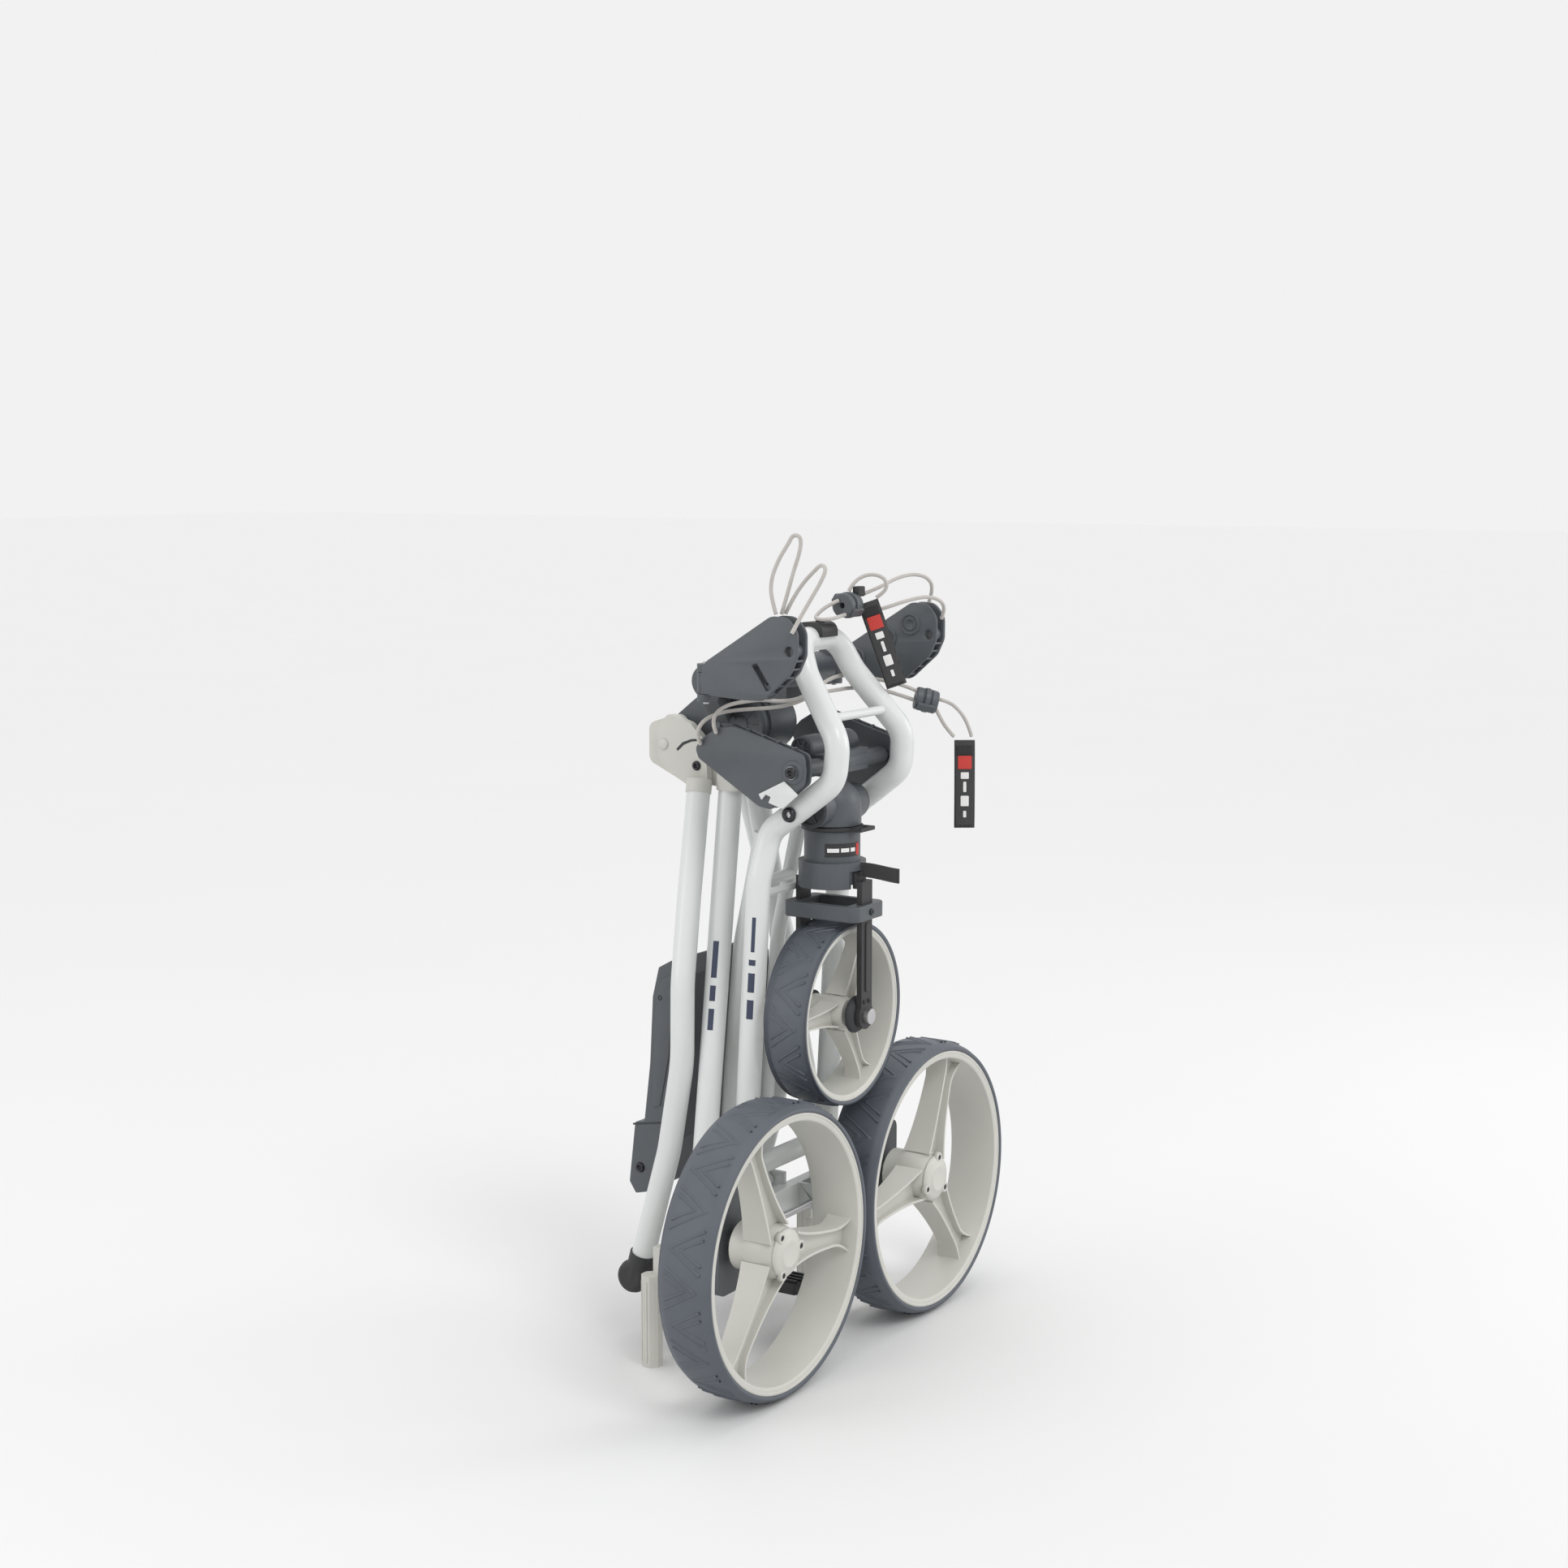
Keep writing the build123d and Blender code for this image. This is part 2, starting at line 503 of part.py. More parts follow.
# Routes as (X, distance behind the wheel faces, Z), from where each cord leaves its part.
WING_LOOP_TALL = [(-140, 25.5, 781), (-141, 31, 798), (-141.5, 30, 816), (-140, 22, 835), (-138.5, 12.5, 849),
                  (-137.5, 8, 858), (-136.5, -1, 856), (-135.5, 1, 842), (-135, 9, 822), (-134.5, 16, 801),
                  (-134, 23, 781.2)]
WING_LOOP_SHORT = [(-130, 21, 781.4), (-129.5, 13, 796), (-131, 1, 811), (-133.5, -13, 823), (-135.5, -23, 830.5),
                   (-137.5, -30, 826), (-139, -25, 814), (-141, -14, 796), (-145, -5, 779), (-149.6, 1.5, 764)]
FAR_CORD_HIGH = [(138, 12.4, 780), (134, 5, 794), (123, 4.5, 806), (107, 12, 811), (88, 22.5, 807.5),
                 (68, 31, 798), (52, 40.5, 792)]
FAR_CORD_LOW = [(137, -3.2, 763), (134.5, -9.5, 773), (126, -8, 783.5), (112, 1.5, 787.5), (92, 15, 783),
                (75, 28, 776.5), (59, 40, 772.5), (41, 47.5, 772.5)]
HOOK_LOOP = [(15.8, 50, 786), (7, 56, 782), (-2, 62, 775), (-8, 64, 769), (-10, 55, 767.6), (-5, 47, 768.2),
             (6, 43.5, 770), (15.8, 42, 772)]
TAB_LOOP_HIGH = [(33, 48, 795), (37, 44, 806), (46, 31, 813), (54, 19, 809.5), (57.5, 16, 800), (56.5, 22, 792),
                 (54.5, 28, 788)]
BASE_CORD_HIGH = [(-100, 123, 656.5), (-105, 123.5, 664), (-104.5, 122, 676), (-95.5, 115, 684), (-82, 105, 687),
                  (-66, 91, 689), (-50, 78, 686), (-31, 67, 688), (-11, 63.5, 696), (11, 62, 703), (33, 63, 706.5),
                  (54, 64.5, 706), (72, 50, 703), (84, 30, 699), (92.5, 14, 694), (99.6, 4.6, 689)]
BASE_CORD_LOW = [(-100, 142.2, 644), (-105, 143, 651), (-105, 141, 662.5), (-98.5, 133.5, 672), (-86.5, 119.5, 677.5),
                 (-71, 103, 679), (-54, 87, 679.5), (-36, 73, 682.5), (-17, 65.5, 688.5), (4, 61.5, 692.5),
                 (27, 58, 693), (50, 57, 693.5), (67, 46, 692.5), (79.5, 31, 689.5), (90, 17, 684), (98, 7.4, 679.5)]
TAB_CORD_OUTER = [(113.8, -13, 680), (120.5, -22, 677.5), (128, -31, 668), (134, -38, 653.5), (137.5, -40.5, 640)]
TAB_CORD_INNER = [(112, -11.2, 670), (115.5, -14.8, 660.5), (120.5, -19, 649.5), (127, -25, 640)]


def cord(name, route):
    """Elastic cord along straight runs joined by arcs as large as the runs allow."""
    points = [Vector(x, FACE + behind, z) for x, behind, z in route]
    bends = []
    for before, here, after in zip(points, points[1:], points[2:]):
        turn = (here - before).get_angle(after - here)
        shorter = min((here - before).length, (after - here).length)
        bends.append(0.45 * shorter / tan(radians(turn / 2)))
    with BuildPart() as cord_tube:
        centre_line = run_tube(points, bends, CORD)
    length = sum(edge.length for edge in centre_line.edges())
    print(f"{name}: {length:.0f} mm long, radii", ", ".join(f"{bend:.0f}" for bend in bends))
    save(cord_tube.part, name)


cord("cord_wing_loop_tall", WING_LOOP_TALL)
cord("cord_wing_loop_short", WING_LOOP_SHORT)
cord("cord_far_high", FAR_CORD_HIGH)
cord("cord_far_low", FAR_CORD_LOW)
cord("cord_hook_loop", HOOK_LOOP)
cord("cord_tab_loop_high", TAB_LOOP_HIGH)
cord("cord_base_high", BASE_CORD_HIGH)
cord("cord_base_low", BASE_CORD_LOW)
cord("cord_tab_outer", TAB_CORD_OUTER)
cord("cord_tab_inner", TAB_CORD_INNER)

with BuildPart() as upper_lock:
    rod_x(16, 40, FACE + 46, 781, 13.5)
    fillet(upper_lock.edges().filter_by(GeomType.CIRCLE), 2)
    block(36, 50, FACE + 38, FACE + 46, 789, 800)
save(upper_lock.part, "cord_lock_upper")

LOCK_CENTRE = Vector(106, FACE - 3, 679)
LOCK_AXIS = Vector(20, -27, -8)
with BuildPart() as lower_lock:
    with BuildSketch(Plane(origin=LOCK_CENTRE, z_dir=LOCK_AXIS)):
        Circle(13)
    extrude(amount=12, both=True)
    fillet(lower_lock.edges().filter_by(GeomType.CIRCLE), 2)
save(lower_lock.part, "cord_lock_lower")


def pull_tab(name, top, bottom):
    """Doubled webbing tab, flat towards the front right."""
    along = (bottom - top).normalized()
    across = along.cross(Vector(-0.83, -0.53, 0.13)).normalized()
    with BuildPart() as tab:
        with BuildSketch(Plane(origin=(top + bottom) / 2, x_dir=along, z_dir=along.cross(across))):
            Rectangle((bottom - top).length, 22)
        extrude(amount=1.75, both=True)
    save(tab.part, name)


pull_tab("pull_tab_upper", Vector(49.5, FACE + 36, 786), Vector(61, FACE + 6.5, 697))
pull_tab("pull_tab_lower", Vector(134, FACE - 34, 639), Vector(134, FACE - 34.6, 543))
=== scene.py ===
import json
from math import cos, pi, radians, sin

import bmesh
import bpy
from mathutils import Matrix, Vector


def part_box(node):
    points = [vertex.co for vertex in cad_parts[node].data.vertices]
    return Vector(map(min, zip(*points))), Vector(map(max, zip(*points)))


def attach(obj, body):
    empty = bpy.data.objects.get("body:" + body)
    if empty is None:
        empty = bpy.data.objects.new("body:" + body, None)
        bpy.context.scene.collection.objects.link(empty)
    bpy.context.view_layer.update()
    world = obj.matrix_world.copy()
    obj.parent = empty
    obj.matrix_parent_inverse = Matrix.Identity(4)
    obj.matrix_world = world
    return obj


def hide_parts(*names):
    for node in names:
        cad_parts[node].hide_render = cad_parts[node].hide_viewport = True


# Folded push trolley for a golf bag. Metres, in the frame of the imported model:
# X across (right side at -X), -Y the way it rolls forward, Z up.

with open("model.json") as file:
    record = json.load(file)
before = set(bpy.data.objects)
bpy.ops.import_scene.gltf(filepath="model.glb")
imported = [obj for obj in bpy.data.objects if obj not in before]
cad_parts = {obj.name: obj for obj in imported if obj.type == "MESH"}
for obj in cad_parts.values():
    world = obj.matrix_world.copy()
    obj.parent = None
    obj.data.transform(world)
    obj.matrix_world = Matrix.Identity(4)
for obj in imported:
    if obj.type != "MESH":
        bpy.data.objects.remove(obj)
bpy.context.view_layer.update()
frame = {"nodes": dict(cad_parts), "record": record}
nodes = frame["nodes"]
scene = bpy.context.scene

MM = 0.001
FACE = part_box("rear_tyre_left")[0][1]  # outer faces of the folded rear wheels
SIDES = (("right", -1), ("left", 1))


def at(x, behind, z):
    """Point from millimetres, the second counted backward from the wheel faces."""
    return Vector((x * MM, FACE + behind * MM, z * MM))


def middle(node):
    low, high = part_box(node)
    return (Vector(low) + Vector(high)) / 2


# ---------------------------------------------------------------- camera, light and floor

camera = bpy.data.objects.new("camera", bpy.data.cameras.new("camera"))
scene.collection.objects.link(camera)
camera.location = (-2.1077, FACE - 1.2424, 0.9291)
camera.rotation_euler = (radians(90 - 7.6176), 0, radians(-57.390))
camera.data.lens = 55.717
camera.data.sensor_width = 36
scene.camera = camera


def lamp(name, kind, location, power, **values):
    light = bpy.data.lights.new(name, kind)
    light.energy = power
    for key, value in values.items():
        setattr(light, key, value)
    light_object = bpy.data.objects.new(name, light)
    scene.collection.objects.link(light_object)
    light_object.location = location
    direction = Vector((0, 0, 0.45)) - Vector(location)
    light_object.rotation_euler = direction.to_track_quat("-Z", "Y").to_euler()


# Suns light the whole floor evenly; the two soft boxes only draw highlights down the tubes.
lamp("sun_key", "SUN", (-1.0, -2.2, 3.0), 0.75, angle=radians(22))
lamp("sun_top", "SUN", (0.6, 0.4, 3.0), 0.45, angle=radians(60))
lamp("box_left", "AREA", (-2.2, 1.4, 1.3), 9, size=1.2)
lamp("box_right", "AREA", (1.7, -1.9, 1.4), 11, size=1.0)

world = bpy.data.worlds.new("studio")
scene.world = world
world.use_nodes = True
world.node_tree.nodes["Background"].inputs["Color"].default_value = (0.887, 0.887, 0.887, 1)
world.node_tree.nodes["Background"].inputs["Strength"].default_value = 1.0
scene.view_settings.view_transform = "Standard"

# ---------------------------------------------------------------- materials


def add(tree, kind, **values):
    node = tree.nodes.new(kind)
    for name, value in values.items():
        if name in node.inputs:
            node.inputs[name].default_value = value
        else:
            setattr(node, name, value)
    return node


def surface(name, colour, roughness, variation=0.06, cloud=14.0, grain=900.0, bump=0.0002, **shader):
    """Base colour with soft clouding, roughness variation and a fine grain in the normal."""
    material = bpy.data.materials.new(name)
    material.use_nodes = True
    tree = material.node_tree
    principled = tree.nodes["Principled BSDF"]
    for socket, value in shader.items():
        principled.inputs[socket.replace("_", " ")].default_value = value
    place = add(tree, "ShaderNodeTexCoord")
    clouds = add(tree, "ShaderNodeTexNoise", Scale=cloud, Detail=4.0, Roughness=0.6)
    tree.links.new(place.outputs["Object"], clouds.inputs["Vector"])
    ramp = add(tree, "ShaderNodeValToRGB")
    ramp.color_ramp.elements[0].position = 0.3
    ramp.color_ramp.elements[1].position = 0.7
    ramp.color_ramp.elements[0].color = [c * (1 - variation) for c in colour] + [1]
    ramp.color_ramp.elements[1].color = [min(1, c * (1 + variation)) for c in colour] + [1]
    tree.links.new(clouds.outputs["Fac"], ramp.inputs["Fac"])
    tree.links.new(ramp.outputs["Color"], principled.inputs["Base Color"])
    gloss = add(tree, "ShaderNodeMapRange", **{"To Min": roughness - 0.05, "To Max": roughness + 0.07})
    tree.links.new(clouds.outputs["Fac"], gloss.inputs["Value"])
    tree.links.new(gloss.outputs["Result"], principled.inputs["Roughness"])
    fine = add(tree, "ShaderNodeTexNoise", Scale=grain, Detail=2.0)
    tree.links.new(place.outputs["Object"], fine.inputs["Vector"])
    relief = add(tree, "ShaderNodeBump", Strength=0.5, Distance=bump)
    tree.links.new(fine.outputs["Fac"], relief.inputs["Height"])
    tree.links.new(relief.outputs["Normal"], principled.inputs["Normal"])
    return material


def woven(name, colour, pitch, roughness=0.85):
    """Plain weave from two crossing waves in object space."""
    material = surface(name, colour, roughness, variation=0.12, cloud=60.0, Sheen_Weight=0.4)
    tree = material.node_tree
    place = tree.nodes["Texture Coordinate"]
    height = None
    for direction in ("X", "Z"):
        wave = add(tree, "ShaderNodeTexWave", bands_direction=direction, Scale=1 / pitch / 6.283)
        tree.links.new(place.outputs["Object"], wave.inputs["Vector"])
        if height is None:
            height = wave.outputs["Fac"]
        else:
            crossing = add(tree, "ShaderNodeMath", operation="MULTIPLY")
            tree.links.new(height, crossing.inputs[0])
            tree.links.new(wave.outputs["Fac"], crossing.inputs[1])
            height = crossing.outputs["Value"]
    weave = add(tree, "ShaderNodeBump", Strength=0.7, Distance=0.0004)
    tree.links.new(height, weave.inputs["Height"])
    tree.links.new(tree.nodes["Bump"].outputs["Normal"], weave.inputs["Normal"])
    tree.links.new(weave.outputs["Normal"], tree.nodes["Principled BSDF"].inputs["Normal"])
    return material


def braided(name, colour, length):
    """Braided sleeve: two wave sets wound opposite ways along a cord's own coordinates."""
    material = surface(name, colour, 0.8, variation=0.08, cloud=90.0, Sheen_Weight=0.5)
    tree = material.node_tree
    place = tree.nodes["Texture Coordinate"]
    heights = []
    for turn in (-1, 1):
        mapping = add(tree, "ShaderNodeMapping")
        mapping.inputs["Scale"].default_value = (length / 0.0024, turn * 6, 1)
        tree.links.new(place.outputs["UV"], mapping.inputs["Vector"])
        wave = add(tree, "ShaderNodeTexWave", bands_direction="DIAGONAL", Scale=0.32)
        tree.links.new(mapping.outputs["Vector"], wave.inputs["Vector"])
        heights.append(wave.outputs["Fac"])
    crossing = add(tree, "ShaderNodeMath", operation="MAXIMUM")
    tree.links.new(heights[0], crossing.inputs[0])
    tree.links.new(heights[1], crossing.inputs[1])
    braid = add(tree, "ShaderNodeBump", Strength=0.6, Distance=0.0003)
    tree.links.new(crossing.outputs["Value"], braid.inputs["Height"])
    tree.links.new(tree.nodes["Bump"].outputs["Normal"], braid.inputs["Normal"])
    tree.links.new(braid.outputs["Normal"], tree.nodes["Principled BSDF"].inputs["Normal"])
    return material


paint = surface("off_white_paint", (0.66, 0.68, 0.67), 0.34, 0.02, 9.0, 320.0, 0.00006, Coat_Weight=0.25)
slate = surface("slate_plastic", (0.078, 0.086, 0.096), 0.44, 0.07, 22.0, 1500.0, 0.00016)
# Darker copy of the slate plastic, painted shade: used for the grooves, seams and faces that sit in shadow.
painted_shade_slate = surface("slate_painted_shade", (0.035, 0.038, 0.042), 0.66, 0.08, 30.0, 1500.0, 0.00016)
warm = surface("wheel_plastic", (0.545, 0.54, 0.50), 0.4, 0.025, 12.0, 1100.0, 0.0001)
rubber = surface("tyre_rubber", (0.088, 0.10, 0.12), 0.5, 0.09, 26.0, 2200.0, 0.0002)
black = surface("black_plastic", (0.022, 0.022, 0.024), 0.5, 0.1, 30.0, 1400.0, 0.00015)
steel = surface("zinc_steel", (0.52, 0.52, 0.53), 0.34, 0.06, 60.0, 700.0, 0.0001, Metallic=1.0)
dark_screw = surface("dark_screw", (0.05, 0.05, 0.055), 0.35, 0.1, 80.0, 900.0, 0.0001, Metallic=0.8)
webbing = woven("black_webbing", (0.022, 0.021, 0.023), 0.0011)
red_print = surface("red_print", (0.55, 0.045, 0.035), 0.7, 0.06, 40.0, 1800.0, 0.0001)
white_print = surface("white_print", (0.78, 0.77, 0.76), 0.7, 0.03, 40.0, 1800.0, 0.0001)
navy_print = surface("navy_print", (0.035, 0.045, 0.085), 0.4, 0.05, 40.0, 900.0, 0.00005)
floor_paint = surface("floor", (0.715, 0.715, 0.715), 0.9, 0.004, 2.0, 300.0, 0.00005)

FINISHES = {
    "frame_paint": paint,
    "grey_plastic": slate,
    "wheel_plastic": warm,
    "tyre_rubber": rubber,
    "black_plastic": black,
    "bright_steel": steel,
    "elastic_cord": warm,
    "webbing": webbing,
}
SLOT_OF = {part["node"]: part["material_slot"] for part in frame["record"]["subparts"]}
for name, node in nodes.items():
    node.data.materials.clear()
    node.data.materials.append(FINISHES[SLOT_OF[name]])

# ---------------------------------------------------------------- mesh helpers


def piece(name, mesh, body, material, smooth=True):
    obj = bpy.data.objects.new(name, mesh)
    scene.collection.objects.link(obj)
    mesh.materials.append(material)
    if smooth:
        mesh.shade_smooth()
    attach(obj, body)
    return obj


def from_bmesh(name, bm, body, material, smooth=True):
    bmesh.ops.recalc_face_normals(bm, faces=bm.faces)
    mesh = bpy.data.meshes.new(name)
    bm.to_mesh(mesh)
    bm.free()
    return piece(name, mesh, body, material, smooth)


def soften(obj, width, segments=3, angle=35):
    """Round the sharp edges."""
    bevel = obj.modifiers.new("edges", "BEVEL")
    bevel.width = width
    bevel.segments = segments
    bevel.limit_method = "ANGLE"
    bevel.angle_limit = radians(angle)
    bevel.harden_normals = True
    return obj


def frame_of(origin, normal, up=(0, 0, 1)):
    """Matrix whose Z is the normal and whose Y is as near to up as it can be; along up, Y is used instead."""
    z = Vector(normal).normalized()
    if z.cross(Vector(up)).length < 1e-3:
        up = (0, 1, 0)
    x = Vector(up).cross(z).normalized()
    y = z.cross(x)
    matrix = Matrix((x, y, z)).transposed().to_4x4()
    matrix.translation = origin
    return matrix


def lathe(profile, matrix, steps=96, closed=True, hexed=()):
    """Turn a (radius, height) profile about the matrix's Z axis; the points in hexed make hexagons."""
    bm = bmesh.new()
    rings = []
    for step in range(steps):
        angle = 2 * pi * step / steps
        hexagon = cos(pi / 6) / cos(angle % (pi / 3) - pi / 6)
        ring = []
        for i, (r, h) in enumerate(profile):
            r *= hexagon if i in hexed else 1
            ring.append(bm.verts.new(matrix @ Vector((r * cos(angle), r * sin(angle), h))))
        rings.append(ring)
    pairs = list(range(len(profile) - 1)) + ([-1] if closed else [])
    for ring, following in zip(rings, rings[1:] + rings[:1]):
        for i in pairs:
            bm.faces.new((ring[i], ring[i + 1], following[i + 1], following[i]))
    bmesh.ops.remove_doubles(bm, verts=bm.verts, dist=1e-6)
    bmesh.ops.dissolve_degenerate(bm, edges=bm.edges, dist=1e-7)
    return bm


def in_metres(profile):
    return [(r * MM, h * MM) for r, h in profile]


def rounded(points, radius, steps=5):
    """Outline with each corner turned into an arc."""
    points = [Vector(p) for p in points]
    outline = []
    for before, here, after in zip(points[-1:] + points[:-1], points, points[1:] + points[:1]):
        back, ahead = (before - here), (after - here)
        half = back.angle(ahead) / 2
        reach = min(radius / max(0.05, sin(half) / cos(half)), 0.45 * min(back.length, ahead.length))
        start, end = here + back.normalized() * reach, here + ahead.normalized() * reach
        for step in range(steps + 1):
            t = step / steps
            outline.append(start * (1 - t) ** 2 + here * 2 * t * (1 - t) + end * t * t)
    return outline


def box_outline(width, height, radius):
    w, h = width / 2, height / 2
    return rounded([(-w, -h), (w, -h), (w, h), (-w, h)], radius)


def disc_outline(x, y, radius, steps=32):
    return [Vector((x + radius * cos(2 * pi * i / steps), y + radius * sin(2 * pi * i / steps)))
            for i in range(steps)]


def panel(name, outlines, matrix, thickness, body, material, edge=0.8):
    """Plate with rounded edges in the matrix's XY plane; outlines after the first are holes. In millimetres."""
    curve = bpy.data.curves.new(name, "CURVE")
    curve.dimensions = "2D"
    curve.fill_mode = "BOTH"
    curve.extrude = (thickness / 2 - edge) * MM
    curve.bevel_depth = edge * MM
    curve.bevel_resolution = 2
    curve.offset = -edge * MM
    for outline in outlines:
        spline = curve.splines.new("POLY")
        spline.points.add(len(outline) - 1)
        for point, corner in zip(spline.points, outline):
            point.co = (corner.x * MM, corner.y * MM, 0, 1)
        spline.use_cyclic_u = True
    shaper = bpy.data.objects.new(name + "_shaper", curve)
    scene.collection.objects.link(shaper)
    bpy.context.view_layer.update()
    mesh = bpy.data.meshes.new_from_object(shaper.evaluated_get(bpy.context.evaluated_depsgraph_get()))
    bpy.data.objects.remove(shaper)
    bpy.data.curves.remove(curve)
    mesh.name = name
    mesh.transform(matrix)
    mesh.materials.clear()
    obj = piece(name, mesh, body, material)
    weld = obj.modifiers.new("weld", "WELD")
    weld.merge_threshold = 1e-6
    return obj


def side_matrix(x):
    """Local X is backward from the wheel faces, local Y is up, local Z is across."""
    return Matrix(((0, 0, 1, x * MM), (1, 0, 0, FACE), (0, 1, 0, 0), (0, 0, 0, 1)))


def side_panel(name, outlines, x0, x1, body, material, edge=0.8):
    return panel(name, outlines, side_matrix((x0 + x1) / 2), abs(x1 - x0), body, material, edge)


def front_matrix(behind):
    """Local X is across towards the right side, local Y is up, local Z points backward."""
    return frame_of(at(0, behind, 0), (0, 1, 0))


def bar(bm, start, end, side, width, height):
    """Square bar between two points, its width along side."""
    start, end, side = Vector(start), Vector(end), Vector(side).normalized()
    rise = (end - start).cross(side).normalized() * height / 2
    side = side * width / 2
    corners = []
    for place in (start, end):
        corners.append([bm.verts.new(place + a * side + b * rise) for a, b in ((-1, -1), (1, -1), (1, 1), (-1, 1))])
    bm.faces.new(corners[0])
    bm.faces.new(corners[1])
    for i in range(4):
        j = (i + 1) % 4
        bm.faces.new((corners[0][i], corners[0][j], corners[1][j], corners[1][i]))


def screw(name, place, normal, radius, body, material=None):
    """Button head screw with a hexagonal socket."""
    r = radius * MM
    profile = [(1e-5, r * 0.12), (r * 0.46, r * 0.12), (r * 0.5, r * 0.5), (r * 0.72, r * 0.47), (r * 0.93, r * 0.28),
               (r, 0.0), (1e-5, -r * 0.3)]
    head = from_bmesh(name, lathe(profile, frame_of(place, normal), 48, False, (1, 2)), body, material or dark_screw)
    head.modifiers.new("normals", "WEIGHTED_NORMAL")
    return head


def ribbed_face(name, place, normal, radius, body, material, ribs=8, centre=0.3):
    """Round moulded face: a rim and a centre boss with ribs between them."""
    matrix = frame_of(place, normal)
    r = radius * MM
    inner = r * centre
    profile = [(1e-5, 0.0022), (inner * 0.8, 0.0022), (inner, 0.0018), (inner + 0.0004, 0.0003), (r * 0.80, 0.0003),
               (r * 0.82, 0.0024), (r * 0.95, 0.0024), (r, 0.0018), (r, -0.001)]
    bm = lathe(profile, matrix, 72, False)
    axis = matrix.to_3x3() @ Vector((0, 0, 1))
    for number in range(ribs):
        angle = 2 * pi * number / ribs
        spread = Vector((cos(angle), sin(angle), 0))
        bar(bm, matrix @ (spread * inner * 0.9 + Vector((0, 0, 0.0008))),
            matrix @ (spread * r * 0.84 + Vector((0, 0, 0.0008))), axis, 0.0020, 0.0016)
    return from_bmesh(name, bm, body, material, smooth=False)


def ribbon(name, path, across, width, thickness, body, material):
    """Strip of webbing along a path, its width along across."""
    bm = bmesh.new()
    across = Vector(across).normalized() * width / 2
    rows = [[bm.verts.new(Vector(p) + across * share) for share in (-1, -0.5, 0, 0.5, 1)] for p in path]
    for row, following in zip(rows, rows[1:]):
        for i in range(4):
            bm.faces.new((row[i], row[i + 1], following[i + 1], following[i]))
    strip = from_bmesh(name, bm, body, material)
    solid = strip.modifiers.new("thickness", "SOLIDIFY")
    solid.thickness = thickness
    solid.offset = 0
    return strip


# ---------------------------------------------------------------- tyres


def tyre(name, node, body, rim_radius, chevrons):
    """Foam tyre with a crowned tread, stepped shoulders and two rows of nested raised chevrons."""
    low, high = (Vector(corner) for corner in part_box(node))
    centre_point = (low + high) / 2
    half = (high.y - low.y) / 2
    radius = (high.z - low.z) / 2
    crown = radius - 0.0009
    matrix = frame_of(centre_point, (0, 1, 0))
    side = [(rim_radius, half - 0.0015), (rim_radius + 0.0012, half - 0.0002), (rim_radius + 0.004, half),
            (crown - 0.0045, half - 0.0022), (crown - 0.0022, half - 0.0052), (crown - 0.0009, half - 0.0098),
            (crown - 0.0004, half - 0.014), (crown, half * 0.35)]
    profile = side + [(r, -h) for r, h in reversed(side)]
    ring = from_bmesh(name, lathe(profile, matrix, 144), body, rubber)
    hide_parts(node)

    bm = bmesh.new()

    def ridge(points):
        """Raised line along (angle, height) points on the tread, mitred at its corners."""
        places = [Vector((angle * crown, height)) for angle, height in points]
        rows = []
        for i, here in enumerate(places):
            before = (here - places[i - 1]).normalized() if i else (places[1] - here).normalized()
            after = (places[i + 1] - here).normalized() if i + 1 < len(places) else before
            along = (before + after).normalized()
            normal = Vector((-along.y, along.x)) / max(0.4, along.dot(after))
            row = []
            for offset, rise in ((-0.0015, -0.0006), (-0.0009, 0.0005), (0, 0.0009), (0.0009, 0.0005),
                                 (0.0015, -0.0006)):
                spot = here + normal * offset
                r = crown + rise - 0.0020 * max(0.0, abs(spot.y) / half - 0.55) ** 2 / 0.2
                angle = spot.x / crown
                row.append(bm.verts.new(matrix @ Vector((r * cos(angle), r * sin(angle), spot.y))))
            rows.append(row)
        for row, following in zip(rows, rows[1:]):
            for i in range(4):
                bm.faces.new((row[i], row[i + 1], following[i + 1], following[i]))

    for number in range(chevrons):
        for side, turn in ((-1, 0.0), (1, 0.5)):
            angle = 2 * pi * (number + turn) / chevrons
            for reach, tip, foot in ((0.021, 0.52, -0.68), (0.0125, 0.12, -0.68)):
                spread = reach / crown
                line = []
                for arm, shares in ((-1, range(8)), (1, range(7, -1, -1))):
                    for step in shares:
                        share = step / 7
                        line.append((angle + arm * spread * (1 - share), side * half * (foot + (tip - foot) * share)))
                del line[8]
                ridge(line)
    tread = from_bmesh(name + "_tread", bm, body, rubber)


REAR_RIM, FRONT_RIM = 140, 91  # rim radii in millimetres
for side_name, sign in SIDES:
    tyre(f"tyre_{side_name}", f"rear_tyre_{side_name}", f"rear_wheel_{side_name}", REAR_RIM / 1000, 12)
tyre("tyre_front", "front_tyre", "front_wheel", FRONT_RIM / 1000, 8)

# ---------------------------------------------------------------- rims and hub caps


